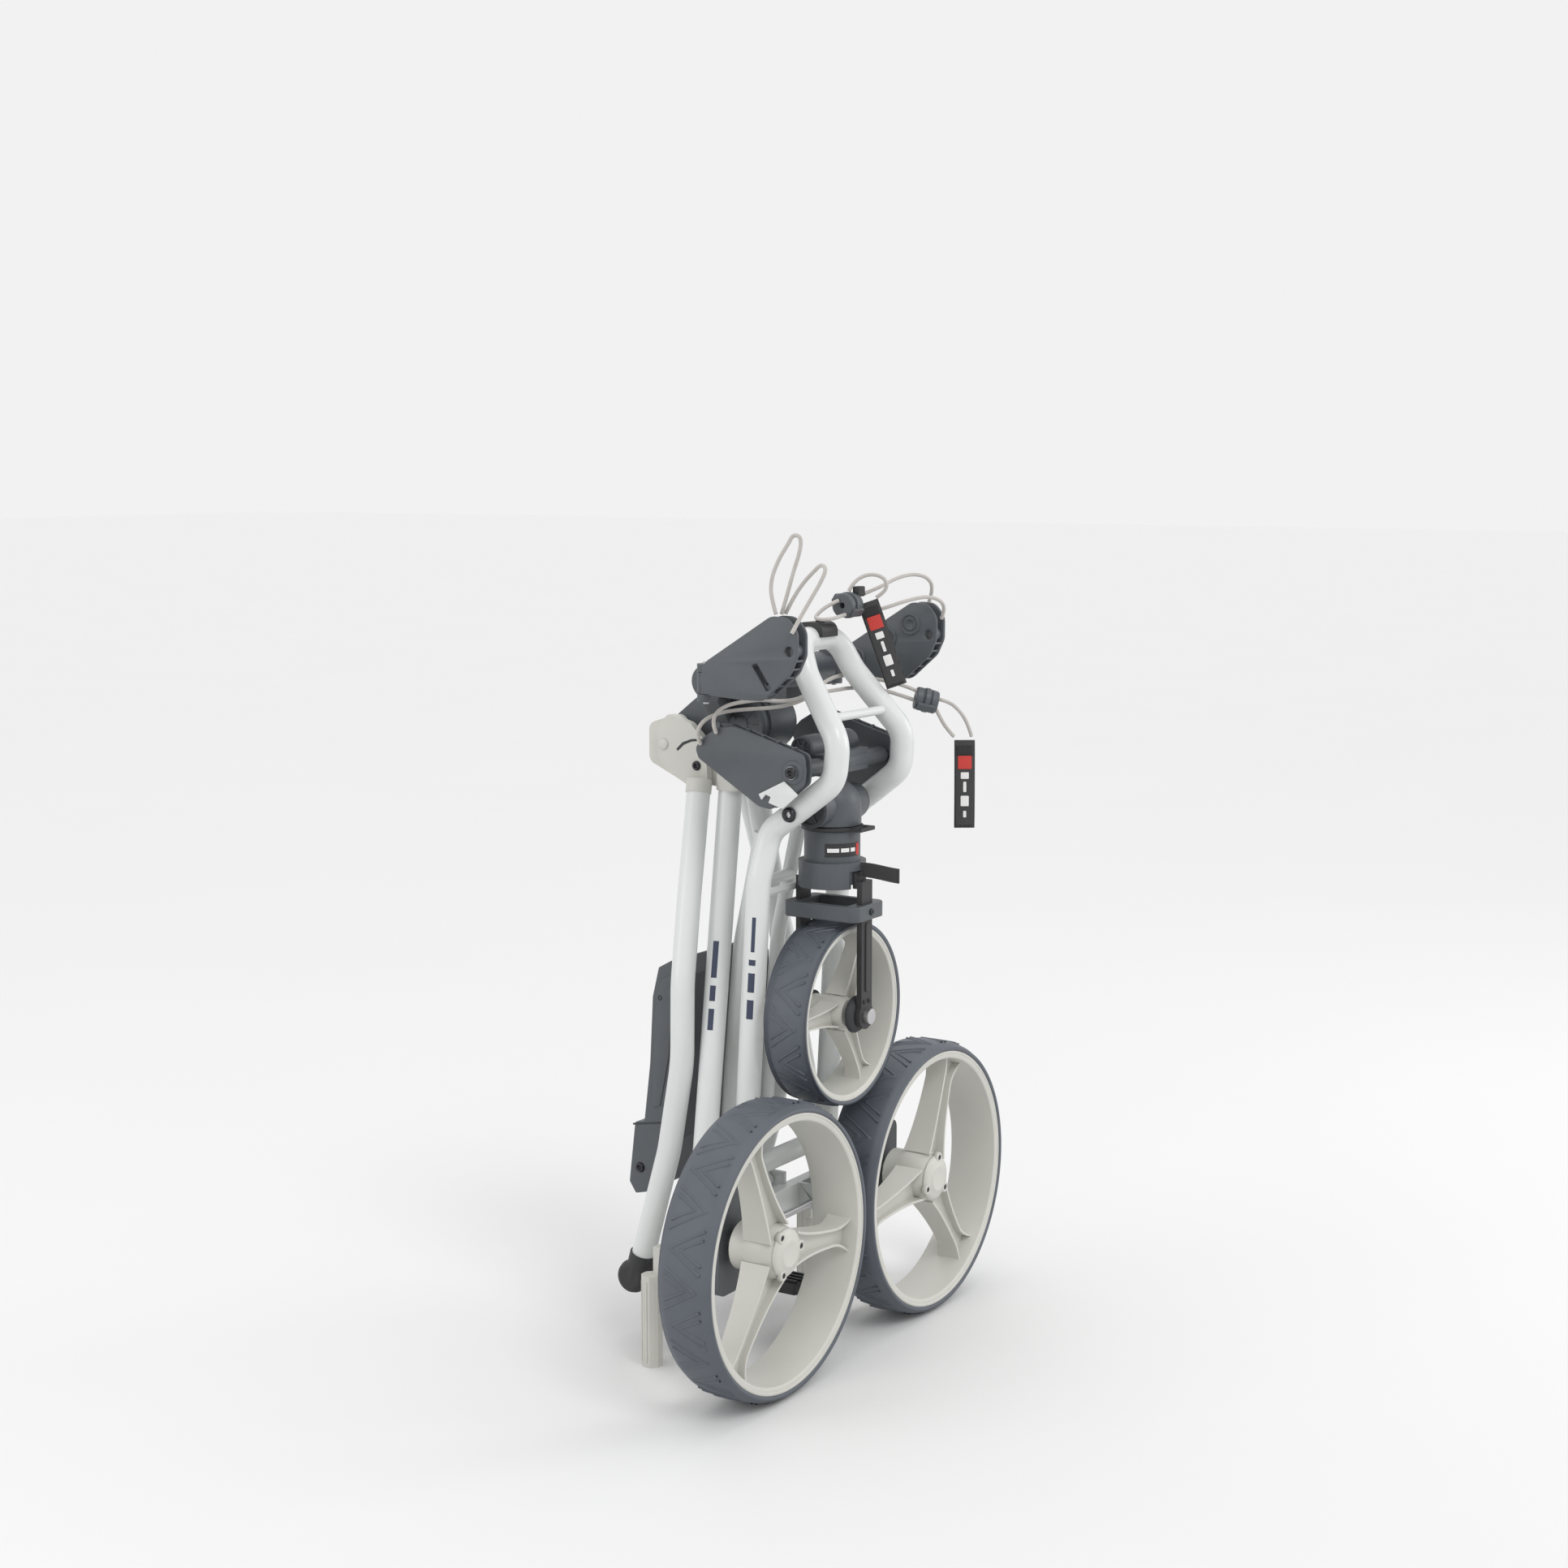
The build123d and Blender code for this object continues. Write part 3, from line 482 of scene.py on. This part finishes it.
def rim(name, node, body, face, outer, wall, depth, hub, bore, first_spoke, size):
    """Deep barrel with three flanged spokes; face is the wheel's centre on its outer plane. In millimetres."""
    matrix = frame_of(face, (0, 1, 0))
    inner = outer - wall
    barrel = [(outer, 1.4), (outer - 0.6, 1.0), (outer - 2.6, 1.0), (outer - 3.0, 1.9), (inner + 1.2, 1.9),
              (inner - 0.3, 3.0), (inner - 1.0, 7), (inner - 1.8, 15), (inner - 2.0, depth * 0.45),
              (inner - 1.0, depth - 12), (inner + 0.6, depth - 3), (inner + 1.2, depth - 1), (outer, depth - 1)]
    bm = lathe(in_metres(barrel), matrix, 160)
    drum = [(hub, depth - 1), (hub, depth * 0.72), (hub * 1.14, depth * 0.62), (hub * 1.10, depth * 0.30),
            (hub * 0.98, 9), (hub * 0.92, 6.5), (bore, 6.5), (bore, depth - 1)]
    hub_mesh = lathe(in_metres(drum), matrix, 96)
    joined = bpy.data.meshes.new(name + "_hub")
    hub_mesh.to_mesh(joined)
    bm.from_mesh(joined)
    bpy.data.meshes.remove(joined)
    for turn in (0, 120, 240):
        angle = radians(180 - first_spoke - turn)
        radial, tangent = Vector((cos(angle), sin(angle), 0)), Vector((-sin(angle), cos(angle), 0))
        rings = []
        for step in range(15):
            share = step / 14
            r = hub * 0.9 + (inner - hub * 0.9) * share
            w = size * (9.5 + 9 * (1 - share) ** 3 + 10 * max(0, share - 0.76) ** 2 / 0.0576)
            d = size * (11.5 + 5.0 * (1 - share) ** 2 + 3 * max(0, share - 0.8) / 0.2)
            f, web = w - 2.8 * size, 4.5 * size
            outline = [(w, d), (f, d), (f, web), (-f, web), (-f, d), (-w, d),
                       (-w, -d), (-f, -d), (-f, -web), (f, -web), (f, -d), (w, -d)]
            centre_line = Vector((0, 0, depth * 0.42))
            rings.append([bm.verts.new(matrix @ ((radial * r + tangent * u + centre_line + Vector((0, 0, v))) * MM))
                          for u, v in outline])
        for ring, following in zip(rings, rings[1:]):
            for i in range(12):
                j = (i + 1) % 12
                bm.faces.new((ring[i], ring[j], following[j], following[i]))
        bm.faces.new(rings[0])
        bm.faces.new(rings[-1])
    wheel = from_bmesh(name, bm, body, warm)
    soften(wheel, 0.0009, 2, 40)
    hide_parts(node)


def hub_cap(name, node, body, face, first_spoke):
    matrix = frame_of(face, (0, 1, 0))
    dome = [(1e-5, 1.3), (11, 1.5), (12.4, 1.1), (14.2, 1.1), (15.2, 2.0), (19, 2.9), (22.5, 4.4), (24.6, 6.6),
            (24.8, 8.0), (1e-5, 8.0)]
    cap = from_bmesh(name, lathe(in_metres(dome), matrix, 96, False), body, warm)
    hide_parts(node)
    for number, turn in enumerate((0, 120, 240)):
        angle = radians(180 - first_spoke - turn - 12)
        spot = matrix @ Vector((0.0225 * cos(angle), 0.0225 * sin(angle), 0))
        lug_matrix = frame_of(spot, (0, 1, 0))
        lug = [(3.0, 3.4), (3.4, 2.7), (5.0, 2.7), (5.8, 3.6), (6.2, 8.5), (3.0, 8.5)]
        lug_mesh = lathe(in_metres(lug), lug_matrix, 40)
        from_bmesh(f"{name}_lug_{number}", lug_mesh, body, warm)
        screw(f"{name}_screw_{number}", spot + Vector((0, 0.0042, 0)), (0, -1, 0), 2.9, body)


SPOKES = {"right": 112, "left": 68}
for side_name, sign in SIDES:
    wheel_face = middle(f"rear_tyre_{side_name}")
    wheel_face.y = FACE
    rim(f"rim_{side_name}", f"rear_rim_{side_name}", f"rear_wheel_{side_name}", wheel_face, REAR_RIM, 8, 60, 25, 6.1,
        SPOKES[side_name], 1.0)
    hub_cap(f"cap_{side_name}", f"hub_cap_{side_name}", f"rear_wheel_{side_name}", wheel_face, SPOKES[side_name])
front_face = middle("front_tyre")
front_face.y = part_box("front_tyre")[0][1]
rim("rim_front", "front_rim", "front_wheel", front_face, FRONT_RIM, 6, 50, 16, 5.1, 60, 0.72)
# The front hub covers use the darker slate copy as painted shade.
for name, behind, facing in (("near", 11.3, -1), ("far", 78.7, 1)):
    cover = [(5.2, 0), (13, 0.2), (15.5, 1.2), (17.5, 3.2), (19, 5.6), (19.4, 8.0), (17, 8.2), (5.2, 8.2)]
    from_bmesh(f"front_hub_cover_{name}", lathe([(r * MM, -h * MM) for r, h in cover],
            frame_of(at(0, behind, 360.8), (0, facing, 0)), 72), "fork", painted_shade_slate)

# ---------------------------------------------------------------- bag brackets

TIP = [(109, 729.5), (109, 699.6), (60, 696.4), (36, 696.8), (5, 724), (-3, 741), (-3, 765), (9, 779), (28, 779.5)]
CORE = [(108, 728.5), (108, 703.5), (62, 704.5), (41, 705), (13, 729), (6, 744), (6.5, 761), (14, 774), (29, 778)]
SEE_THROUGH = [(50, 731), (44, 733), (27, 709), (33, 706.5)]
PADS = [(28.7, 756.5), (57.5, 740.7), (95.8, 717.5)]
for side_name, sign in SIDES:
    body = f"bag_wing_{side_name}"
    slots = [rounded(SEE_THROUGH, 2)] if sign < 0 else []
    hole = [disc_outline(7, 746, 5)]
    wing = side_panel(f"upper_wing_outer_{side_name}", [rounded(TIP, 16)] + hole + slots, sign * 143, sign * 147,
                      body, slate, 1.6)
    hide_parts(f"upper_wing_{side_name}")
    skin = side_panel(f"upper_wing_inner_{side_name}", [rounded(TIP, 16)] + hole + slots, sign * 127, sign * 130.5,
                      body, slate, 1.4)
    core = side_panel(f"upper_wing_core_{side_name}", [rounded(CORE, 8)] + hole + slots, sign * 130, sign * 143.5,
                      body, slate, 0.2)
    sleeve = from_bmesh(f"upper_wing_sleeve_{side_name}", lathe([(0.005, -0.0096), (0.0072, -0.0096), (0.0072, 0.0096),
                        (0.005, 0.0096)], frame_of(at(sign * 137, 7, 746), (1, 0, 0)), 40), body, slate)
    bm = bmesh.new()
    for start, end, count in (((60, 696.4), (36, 696.8), 1), ((36, 696.8), (5, 724), 3), ((5, 724), (-3, 741), 2)):
        for number in range(count):
            share = (number + 0.5) / count
            edge_point = Vector(start).lerp(Vector(end), share)
            inward = (Vector((45, 735)) - edge_point).normalized()
            a, b = edge_point + inward * 1.2, edge_point + inward * 13
            bar(bm, at(sign * 136.8, a.x, a.y), at(sign * 136.8, b.x, b.y), (1, 0, 0), 0.0135, 0.0018)
    ribs = from_bmesh(f"upper_wing_ribs_{side_name}", bm, body, slate, smooth=False)
    barrel = from_bmesh(f"upper_wing_barrel_{side_name}", lathe([(0.0031, -0.0105), (0.009, -0.0105), (0.009, 0.0105),
                        (0.0031, 0.0105)], frame_of(at(sign * 122, 120, 709), (0, 0, 1)), 48), body, slate)
    web_outline = rounded([(99, 699.5), (114, 699.5), (114, 718.5), (99, 718.5)], 1)
    web = side_panel(f"upper_wing_web_{side_name}", [web_outline], sign * 124, sign * 140, body, slate, 0.6)
    pad = [(1e-5, 0.6), (4.6, 0.8), (5.4, 1.9), (6.6, 1.9), (7.3, 0.7), (8.8, 0.7), (9.6, 2.3), (11, 2.3),
           (11.8, 0)]
    for number, (behind, height) in enumerate(PADS):
        from_bmesh(f"wing_pad_{side_name}_{number}", lathe(in_metres(pad),
                frame_of(at(sign * 127, behind, height), (-sign, 0, 0)), 56, False), body, slate)

BASE = [(20, 640), (104, 664.5), (122, 662), (139, 652), (151, 640), (147, 629), (74, 585), (60, 583), (45, 590),
        (20, 610), (18.5, 624)]
BASE_CORE = [(26, 634), (100, 654), (122, 654), (139, 646), (149, 638), (145, 630), (74, 587), (60, 585), (46, 592),
             (24, 612), (23, 624)]
for side_name, sign in SIDES:
    body = f"base_wing_{side_name}"
    hole = [disc_outline(33, 622, 4.2)]
    wing = side_panel(f"lower_wing_outer_{side_name}", [rounded(BASE, 9)] + hole, sign * 94.5, sign * 98,
                      body, slate, 1.4)
    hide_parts(f"lower_wing_{side_name}")
    skin = side_panel(f"lower_wing_inner_{side_name}", [rounded(BASE, 9)] + hole, sign * 84, sign * 87,
                      body, slate, 1.2)
    core = side_panel(f"lower_wing_core_{side_name}", [rounded(BASE_CORE, 7)] + hole, sign * 86.6, sign * 94.9,
                      body, slate, 0.2)
    bm = bmesh.new()
    for number in range(5):
        behind = 38 + 18 * number
        foot = 634 + (behind - 26) * 0.27
        bar(bm, at(sign * 90.7, behind, foot), at(sign * 90.7, behind - 2.5, foot + 9.2), (1, 0, 0), 0.0082, 0.0018)
    ribs = from_bmesh(f"lower_wing_ribs_{side_name}", bm, body, slate, smooth=False)
    boss_profile = [(4.2, -0.5), (4.2, 1.4), (10.5, 1.4), (12, 0.6), (12.4, -0.5)]
    boss_place = frame_of(at(sign * 98, 33, 622), (sign, 0, 0))
    boss = from_bmesh(f"lower_wing_boss_{side_name}", lathe(in_metres(boss_profile), boss_place, 56), body, slate)
    plate = rounded([(72.5, 598), (42, 613), (26, 600), (44, 585), (61, 590), (58, 596), (64, 598), (69, 592)], 1.2)
    stop = side_panel(f"lower_wing_plate_{side_name}", [plate], sign * 98, sign * 100.2, body, paint, 0.7)
    screw(f"lower_wing_screw_{side_name}", at(sign * 101.8, 33, 622), (sign, 0, 0), 6.2, "front_frame")
    screw(f"frame_joint_screw_{side_name}", at(sign * 82.6, 47, 577), (sign, 0, 0), 8, "front_frame")
    ribbed_face(f"arm_hub_face_{side_name}", at(sign * 30, 140, 657), (sign, 0, 0), 29.5, "rear_frame", slate)
    # The head boss face uses the darker slate copy as painted shade for the shadow on it.
    ribbed_face(f"head_boss_face_{side_name}", at(sign * 42, 47, 577), (sign, 0, 0), 18.5, "head", painted_shade_slate, 6)
    ribbed_face(f"beam_boss_face_{side_name}", at(sign * 44, 56, 639), (sign, 0, 0), 12.6, "front_frame", slate, 6)
    pivot_cap = [(1e-5, 1.0), (4.6, 0.9), (5.6, 0.2), (5.8, -0.6)]
    from_bmesh(f"knuckle_pivot_cap_{side_name}", lathe(in_metres(pivot_cap),
            frame_of(at(sign * 38.9, 232, 632), (sign, 0, 0)), 40, False), "handle", warm)
    screw(f"knuckle_screw_{side_name}", at(sign * 38, 190, 612), (sign, 0, 0), 5.2, "handle")
    # The knuckle groove is a thin sheet of the darker slate copy: painted shade along the slot.
    groove = [(214, 626), (206, 633), (196, 637), (182, 638.5), (182, 641), (197, 639.5), (208, 635.5), (216, 628)]
    side_panel(f"knuckle_groove_{side_name}", [rounded(groove, 1)], sign * 37.6, sign * 38.25, "handle",
               painted_shade_slate, 0.1)
    screw(f"band_screw_{side_name}", at(0, 45 + sign * 45.2, 470), (0, sign, 0), 3.6, "fork")
    for spread in (-4.6, 4.6):
        screw(f"fork_end_screw_{side_name}_{'left' if spread > 0 else 'right'}", at(spread, 45 + sign * 40.2, 376),
              (0, sign, 0), 2.4, "fork")
    rib_outline = rounded([(-3.4, 386), (3.4, 386), (3.4, 458), (-3.4, 458)], 3)
    panel(f"fork_leg_rib_{side_name}", [rib_outline], front_matrix(45 + sign * 40.4), 1.6, "fork", black,
                  0.5)

# ---------------------------------------------------------------- soft edges, prints, screws and stand feet

SOFT_EDGES = {
    2.4: ["top_knuckle", "handle_yokes", "upper_bracket_arm"],
    1.2: ["lower_bracket_beam", "steering_head", "fork_crown", "fork_band", "handle_console", "axle_beam",
          "wheel_bracket_right", "wheel_bracket_left", "bow_clip"],
    0.7: ["fork_leg_front", "fork_leg_rear", "swivel_lock_lever", "stand_feet", "brake_pedal"],
}
for width, names in SOFT_EDGES.items():
    for name in names:
        weld = nodes[name].modifiers.new("weld", "WELD")
        weld.merge_threshold = 1e-6
        soften(nodes[name], width * MM, 3, 38)

FOOT_RADIUS, FOOT_RIB_LENGTH = 0.0101, 0.086
bm = bmesh.new()
for sign in (-1, 1):
    for number in range(8):
        angle = radians(45 * number)
        spread = Vector((cos(angle), sin(angle), 0))
        foot = at(sign * 150, 172, 5)
        bar(bm, foot + spread * FOOT_RADIUS, foot + spread * FOOT_RADIUS + Vector((0, 0, FOOT_RIB_LENGTH)),
            Vector((-sin(angle), cos(angle), 0)), 0.0024, 0.0017)
from_bmesh("stand_foot_ribs", bm, "rear_frame", warm, smooth=False)


def wrap(name, place, axis, facing, radius, half_angle, z0, z1, body, material, lift=0.3):
    """Thin curved patch around a round part, from z0 to z1 along the axis; half_angle is its span about facing."""
    matrix = frame_of(place, axis, facing)
    section = ((-0.4, z0), (lift, z0), (lift, z1), (-0.4, z1))
    bm = bmesh.new()
    rows = []
    for step in range(17):
        angle = pi / 2 + radians(half_angle[0] + (half_angle[1] - half_angle[0]) * step / 16)
        rows.append([bm.verts.new(matrix @ Vector(((radius + out) * MM * cos(angle), (radius + out) * MM * sin(angle),
                                                   h * MM))) for out, h in section])
    for row, following in zip(rows, rows[1:]):
        for i in range(3):
            bm.faces.new((row[i], row[i + 1], following[i + 1], following[i]))
    bm.faces.new(rows[0])
    bm.faces.new(rows[-1])
    return from_bmesh(name, bm, body, material, smooth=False)


crown_place, view_side = at(0, 47, 534), (-0.54, -0.84, 0)
CROWN_RADIUS = 29


def on_crown(name, span, half_height, material, lift=0.3):
    wrap(name, crown_place, (0, 0, 1), view_side, CROWN_RADIUS, span, -half_height, half_height, "fork", material, lift)


on_crown("crown_label", (-41, 41), 7, black)
on_crown("crown_label_red", (30, 40), 6, red_print, 0.5)
for number, span in enumerate(((14, 26), (-8, 10), (-36, -12))):
    on_crown(f"crown_label_bar_{number}", span, 2, white_print, 0.5)

front_top, front_foot = at(-78, 86.5, 505), at(-80, 107, 130)
front_run = (front_top - front_foot).normalized()
for number, (z0, z1) in enumerate(((-36, 0), (-50, -44), (-78, -58), (-106, -86))):
    wrap(f"front_tube_mark_{number}", front_top + front_run * -0.035, front_run, (-1, -0.35, 0), 12.5,
         (-16, 16) if number else (-9, 9), z0, z1, "front_frame", navy_print, 0.15)
leg_foot, leg_top = at(-119, 133, 148), at(-24, 157, 588)
leg_run = (leg_top - leg_foot).normalized()
for number, (z0, z1) in enumerate(((-46, -8), (-70, -54), (-100, -78))):
    wrap(f"leg_mark_{number}", leg_foot + leg_run * 0.30, leg_run, (-1, -0.3, 0), 12.5, (-14, 14), z0, z1,
         "rear_frame", navy_print, 0.15)

for side_name, sign in SIDES:
    screw(f"console_screw_low_{side_name}", at(sign * 86, 232, 185), (sign, 0, 0), 5.5, "handle")
    screw(f"console_screw_high_{side_name}", at(sign * 86, 204, 372), (sign, 0, 0), 3.4, "handle")
    # The console seam is a thin sheet of the darker slate copy: painted shade in the joint.
    side_panel(f"console_seam_{side_name}", [rounded([(196, 238), (241, 230), (241, 232), (196, 240)], 0.5)],
               sign * 85.6, sign * 86.25, "handle", painted_shade_slate, 0.1)
    side_panel(f"console_rib_{side_name}", [rounded([(190, 398), (202, 392), (209, 372), (213, 300), (216, 252),
               (205, 256), (193, 312), (188, 390)], 3)], sign * 85, sign * 87.2, "handle", slate, 0.8)
    ring = [(17.2, -3), (17.9, -2.4), (17.9, 2.4), (17.2, 3)]
    for shift in (74, 104):
        from_bmesh(f"grip_ring_{side_name}_{shift}", lathe(in_metres(ring),
                frame_of(at(sign * shift, 228, 72), (1, 0, 0)), 48), "handle", black)
side_panel("console_tab", [rounded([(238, 160), (247, 158), (249, 168), (241, 172)], 2)], -60, -52, "handle",
           white_print, 0.8)
screw("bow_clip_screw", at(0, 62, 765), (0, 0, 1), 5, "front_frame")

# ---------------------------------------------------------------- cord locks and webbing


def cord_lock(name, node, place, axis, half, radius):
    """Ribbed barrel lock around the cords."""
    ribs = [(3.0, -half), (radius - 2.2, -half), (radius - 1.2, 1 - half)]
    for number in range(3):
        low = 1 - half + number * (2 * half - 2) / 3
        high = low + (2 * half - 2) / 3
        top = radius if number == 1 else radius - 1.2
        ribs += [(top, low + 1.2), (top, high - 1.2), (radius - 2.6, high - 0.6), (radius - 2.6, high + 0.6)]
    ribs = ribs[:-2] + [(radius - 2.2, half), (3.0, half)]
    matrix = frame_of(place, axis)
    barrel = from_bmesh(name, lathe(in_metres(ribs), matrix, 64), "front_frame", slate)
    soften(barrel, 0.0004, 2, 30)
    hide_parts(node)
    bm = bmesh.new()
    reach = Vector((0, 0, half * 0.8 * MM))
    for angle in (0.6, 0.6 + pi):
        spread = Vector((cos(angle), sin(angle), 0)) * (radius - 0.6) * MM
        side = matrix.to_3x3() @ Vector((-sin(angle), cos(angle), 0))
        bar(bm, matrix @ (spread - reach), matrix @ (spread + reach), side, 0.009, 0.004)
    keys = from_bmesh(name + "_keys", bm, "front_frame", slate, smooth=False)
    soften(keys, 0.0008)
    return barrel


upper_lock = cord_lock("lock_upper", "cord_lock_upper", at(28, 46, 781), (1, 0, 0), 12, 13.5)
panel("lock_upper_button", [box_outline(13.6, 10.6, 2)], frame_of(at(43, 42, 794.5), (0, -1, 0)), 7.6,
      "front_frame", black, 1.2)
lower_lock = cord_lock("lock_lower", "cord_lock_lower", at(106, -3, 679), (20, -27, -8), 12, 13)


TAB_WIDTH = 0.0215


def pull_tab(name, node, top, bottom):
    """Webbing folded over a cord loop and sewn into a tab, with a plain patch. Returns the sewn end on the cord."""
    along = (bottom - top).normalized()
    facing = Vector((-0.83, -0.53, 0.13))
    across = along.cross(facing).normalized()
    facing = across.cross(along).normalized()
    length = (bottom - top).length
    straight, half_gap = length * 0.94, 0.00085
    path = []
    for step in range(13):
        path.append(bottom - along * straight * step / 12 + facing * half_gap)
    for step in range(1, 8):
        angle = pi * step / 8
        path.append(bottom - along * (straight + 0.0024 * sin(angle)) + facing * half_gap * cos(angle))
    for step in range(12, -1, -1):
        path.append(bottom - along * straight * step / 12 - facing * half_gap)
    bend = [place + facing * 0.0022 * sin(pi * min(1, (place - top).length / length)) for place in path]
    strip = ribbon(name, bend, across, TAB_WIDTH, 0.0015, "front_frame", webbing)
    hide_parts(node)
    crest = (top + bottom) / 2 + facing * 0.0041

    def patch(label, shift, long, wide, rise, material):
        matrix = frame_of(crest + along * shift + facing * rise, facing, -along)
        return panel(f"{name}_{label}", [box_outline(wide, long, 1)], matrix, 0.7, "front_frame", material, 0.15)

    patch("patch", 0.008, length / MM * 0.76, 18.5, 0, webbing_patch)
    patch("red", -0.022, 14, 14.5, 0.0005, red_print)
    for number, (shift, long) in enumerate(((-0.008, 7), (0.004, 11), (0.019, 11), (0.033, 7))):
        patch(f"bar_{number}", shift, long, 3.2 if number % 2 else 8.5, 0.0005, white_print)
    return patch("stitching", -length * 0.44, 5, 20, -0.0022, webbing_patch)


webbing_patch = woven("woven_patch", (0.035, 0.035, 0.037), 0.0006, 0.7)
upper_sewn_end = pull_tab("tab_upper", "pull_tab_upper", at(49.5, 36, 786), at(61, 6.5, 697))
lower_sewn_end = pull_tab("tab_lower", "pull_tab_lower", at(134, -34, 639), at(134, -34.6, 543))

tail = [at(1.6 * sin(step / 14 * pi), 11.5 - 44 * step / 14, 511.5 + 1.5 * cos(step / 14 * pi))
        for step in range(15)]
strap = ribbon("strap_tail", tail, (0, 0, 1), 0.0150, 0.0020, "fork", webbing)
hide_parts("fork_strap")

# ---------------------------------------------------------------- elastic cords

# Routes in millimetres, the second number counted backward from the wheel faces.
CORDS = {
    "cord_wing_loop_tall": (0.169, "bag_wing_right", "object", [
        (-140, 25.5, 781), (-141, 31, 798), (-141.5, 30, 816), (-140, 22, 835), (-138.5, 12.5, 849),
        (-137.5, 8, 858), (-136.5, -1, 856), (-135.5, 1, 842), (-135, 9, 822), (-134.5, 16, 801),
        (-134, 23, 781.2)]),
    "cord_wing_loop_short": (0.144, "bag_wing_right", "object", [
        (-130, 21, 781.4), (-129.5, 13, 796), (-131, 1, 811), (-133.5, -13, 823), (-135.5, -23, 830.5),
        (-137.5, -30, 826), (-139, -25, 814), (-141, -14, 796), (-145, -5, 779), (-149.6, 1.5, 764)]),
    "cord_far_high": (0.115, "front_frame", "fitting", [
        (138, 12.4, 780), (134, 5, 794), (123, 4.5, 806), (107, 12, 811), (88, 22.5, 807.5),
        (68, 31, 798), (52, 40.5, 792)]),
    "cord_far_low": (0.128, "front_frame", "fitting", [
        (137, -3.2, 763), (134.5, -9.5, 773), (126, -8, 783.5), (112, 1.5, 787.5), (92, 15, 783),
        (75, 28, 776.5), (59, 40, 772.5), (41, 47.5, 772.5)]),
    "cord_hook_loop": (0.071, "front_frame", "object", [
        (15.8, 50, 786), (7, 56, 782), (-2, 62, 775), (-8, 64, 769), (-10, 55, 767.6), (-5, 47, 768.2),
        (6, 43.5, 770), (15.8, 42, 772)]),
    "cord_tab_loop_high": (0.070, "front_frame", "fitting", [
        (33, 48, 795), (37, 44, 806), (46, 31, 813), (54, 19, 809.5), (57.5, 16, 800), (56.5, 22, 792),
        (54.5, 28, 788)]),
    "cord_base_high": (0.280, "front_frame", "fitting", [
        (-100, 123, 656.5), (-105, 123.5, 664), (-104.5, 122, 676), (-95.5, 115, 684), (-82, 105, 687),
        (-66, 91, 689), (-50, 78, 686), (-31, 67, 688), (-11, 63.5, 696), (11, 62, 703), (33, 63, 706.5),
        (54, 64.5, 706), (72, 50, 703), (84, 30, 699), (92.5, 14, 694), (99.6, 4.6, 689)]),
    "cord_base_low": (0.281, "front_frame", "fitting", [
        (-100, 142.2, 644), (-105, 143, 651), (-105, 141, 662.5), (-98.5, 133.5, 672), (-86.5, 119.5, 677.5),
        (-71, 103, 679), (-54, 87, 679.5), (-36, 73, 682.5), (-17, 65.5, 688.5), (4, 61.5, 692.5),
        (27, 58, 693), (50, 57, 693.5), (67, 46, 692.5), (79.5, 31, 689.5), (90, 17, 684), (98, 7.4, 679.5)]),
    "cord_tab_outer": (0.058, "front_frame", "fitting", [
        (113.8, -13, 680), (120.5, -22, 677.5), (128, -31, 668), (134, -38, 653.5), (137.5, -40.5, 640)]),
    "cord_tab_inner": (0.036, "front_frame", "fitting", [
        (112, -11.2, 670), (115.5, -14.8, 660.5), (120.5, -19, 649.5), (127, -25, 640)]),
}
CORD_DIAMETER = 0.004

for name, (length, body, far_end, route) in CORDS.items():
    curve = bpy.data.curves.new(name, "CURVE")
    curve.dimensions = "3D"
    curve.bevel_depth = CORD_DIAMETER / 2
    curve.bevel_resolution = 5
    curve.resolution_u = 10
    curve.use_fill_caps = True
    spline = curve.splines.new("NURBS")
    spline.points.add(len(route) - 1)
    for point, place in zip(spline.points, route):
        point.co = (*at(*place), 1)
    spline.order_u = 3
    spline.use_endpoint_u = True
    curve.materials.append(braided(name + "_braid", (0.47, 0.445, 0.42), length))
    line = bpy.data.objects.new(name.replace("cord", "elastic"), curve)
    scene.collection.objects.link(line)
    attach(line, body)
    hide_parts(name)

# ---------------------------------------------------------------- floor and finish

floor = bpy.data.objects.new("floor", bpy.data.meshes.new("floor"))
scene.collection.objects.link(floor)
floor.data.from_pydata([(-30, -30, 0), (30, -30, 0), (30, 30, 0), (-30, 30, 0)], [], [(0, 1, 2, 3)])
floor.data.materials.append(floor_paint)
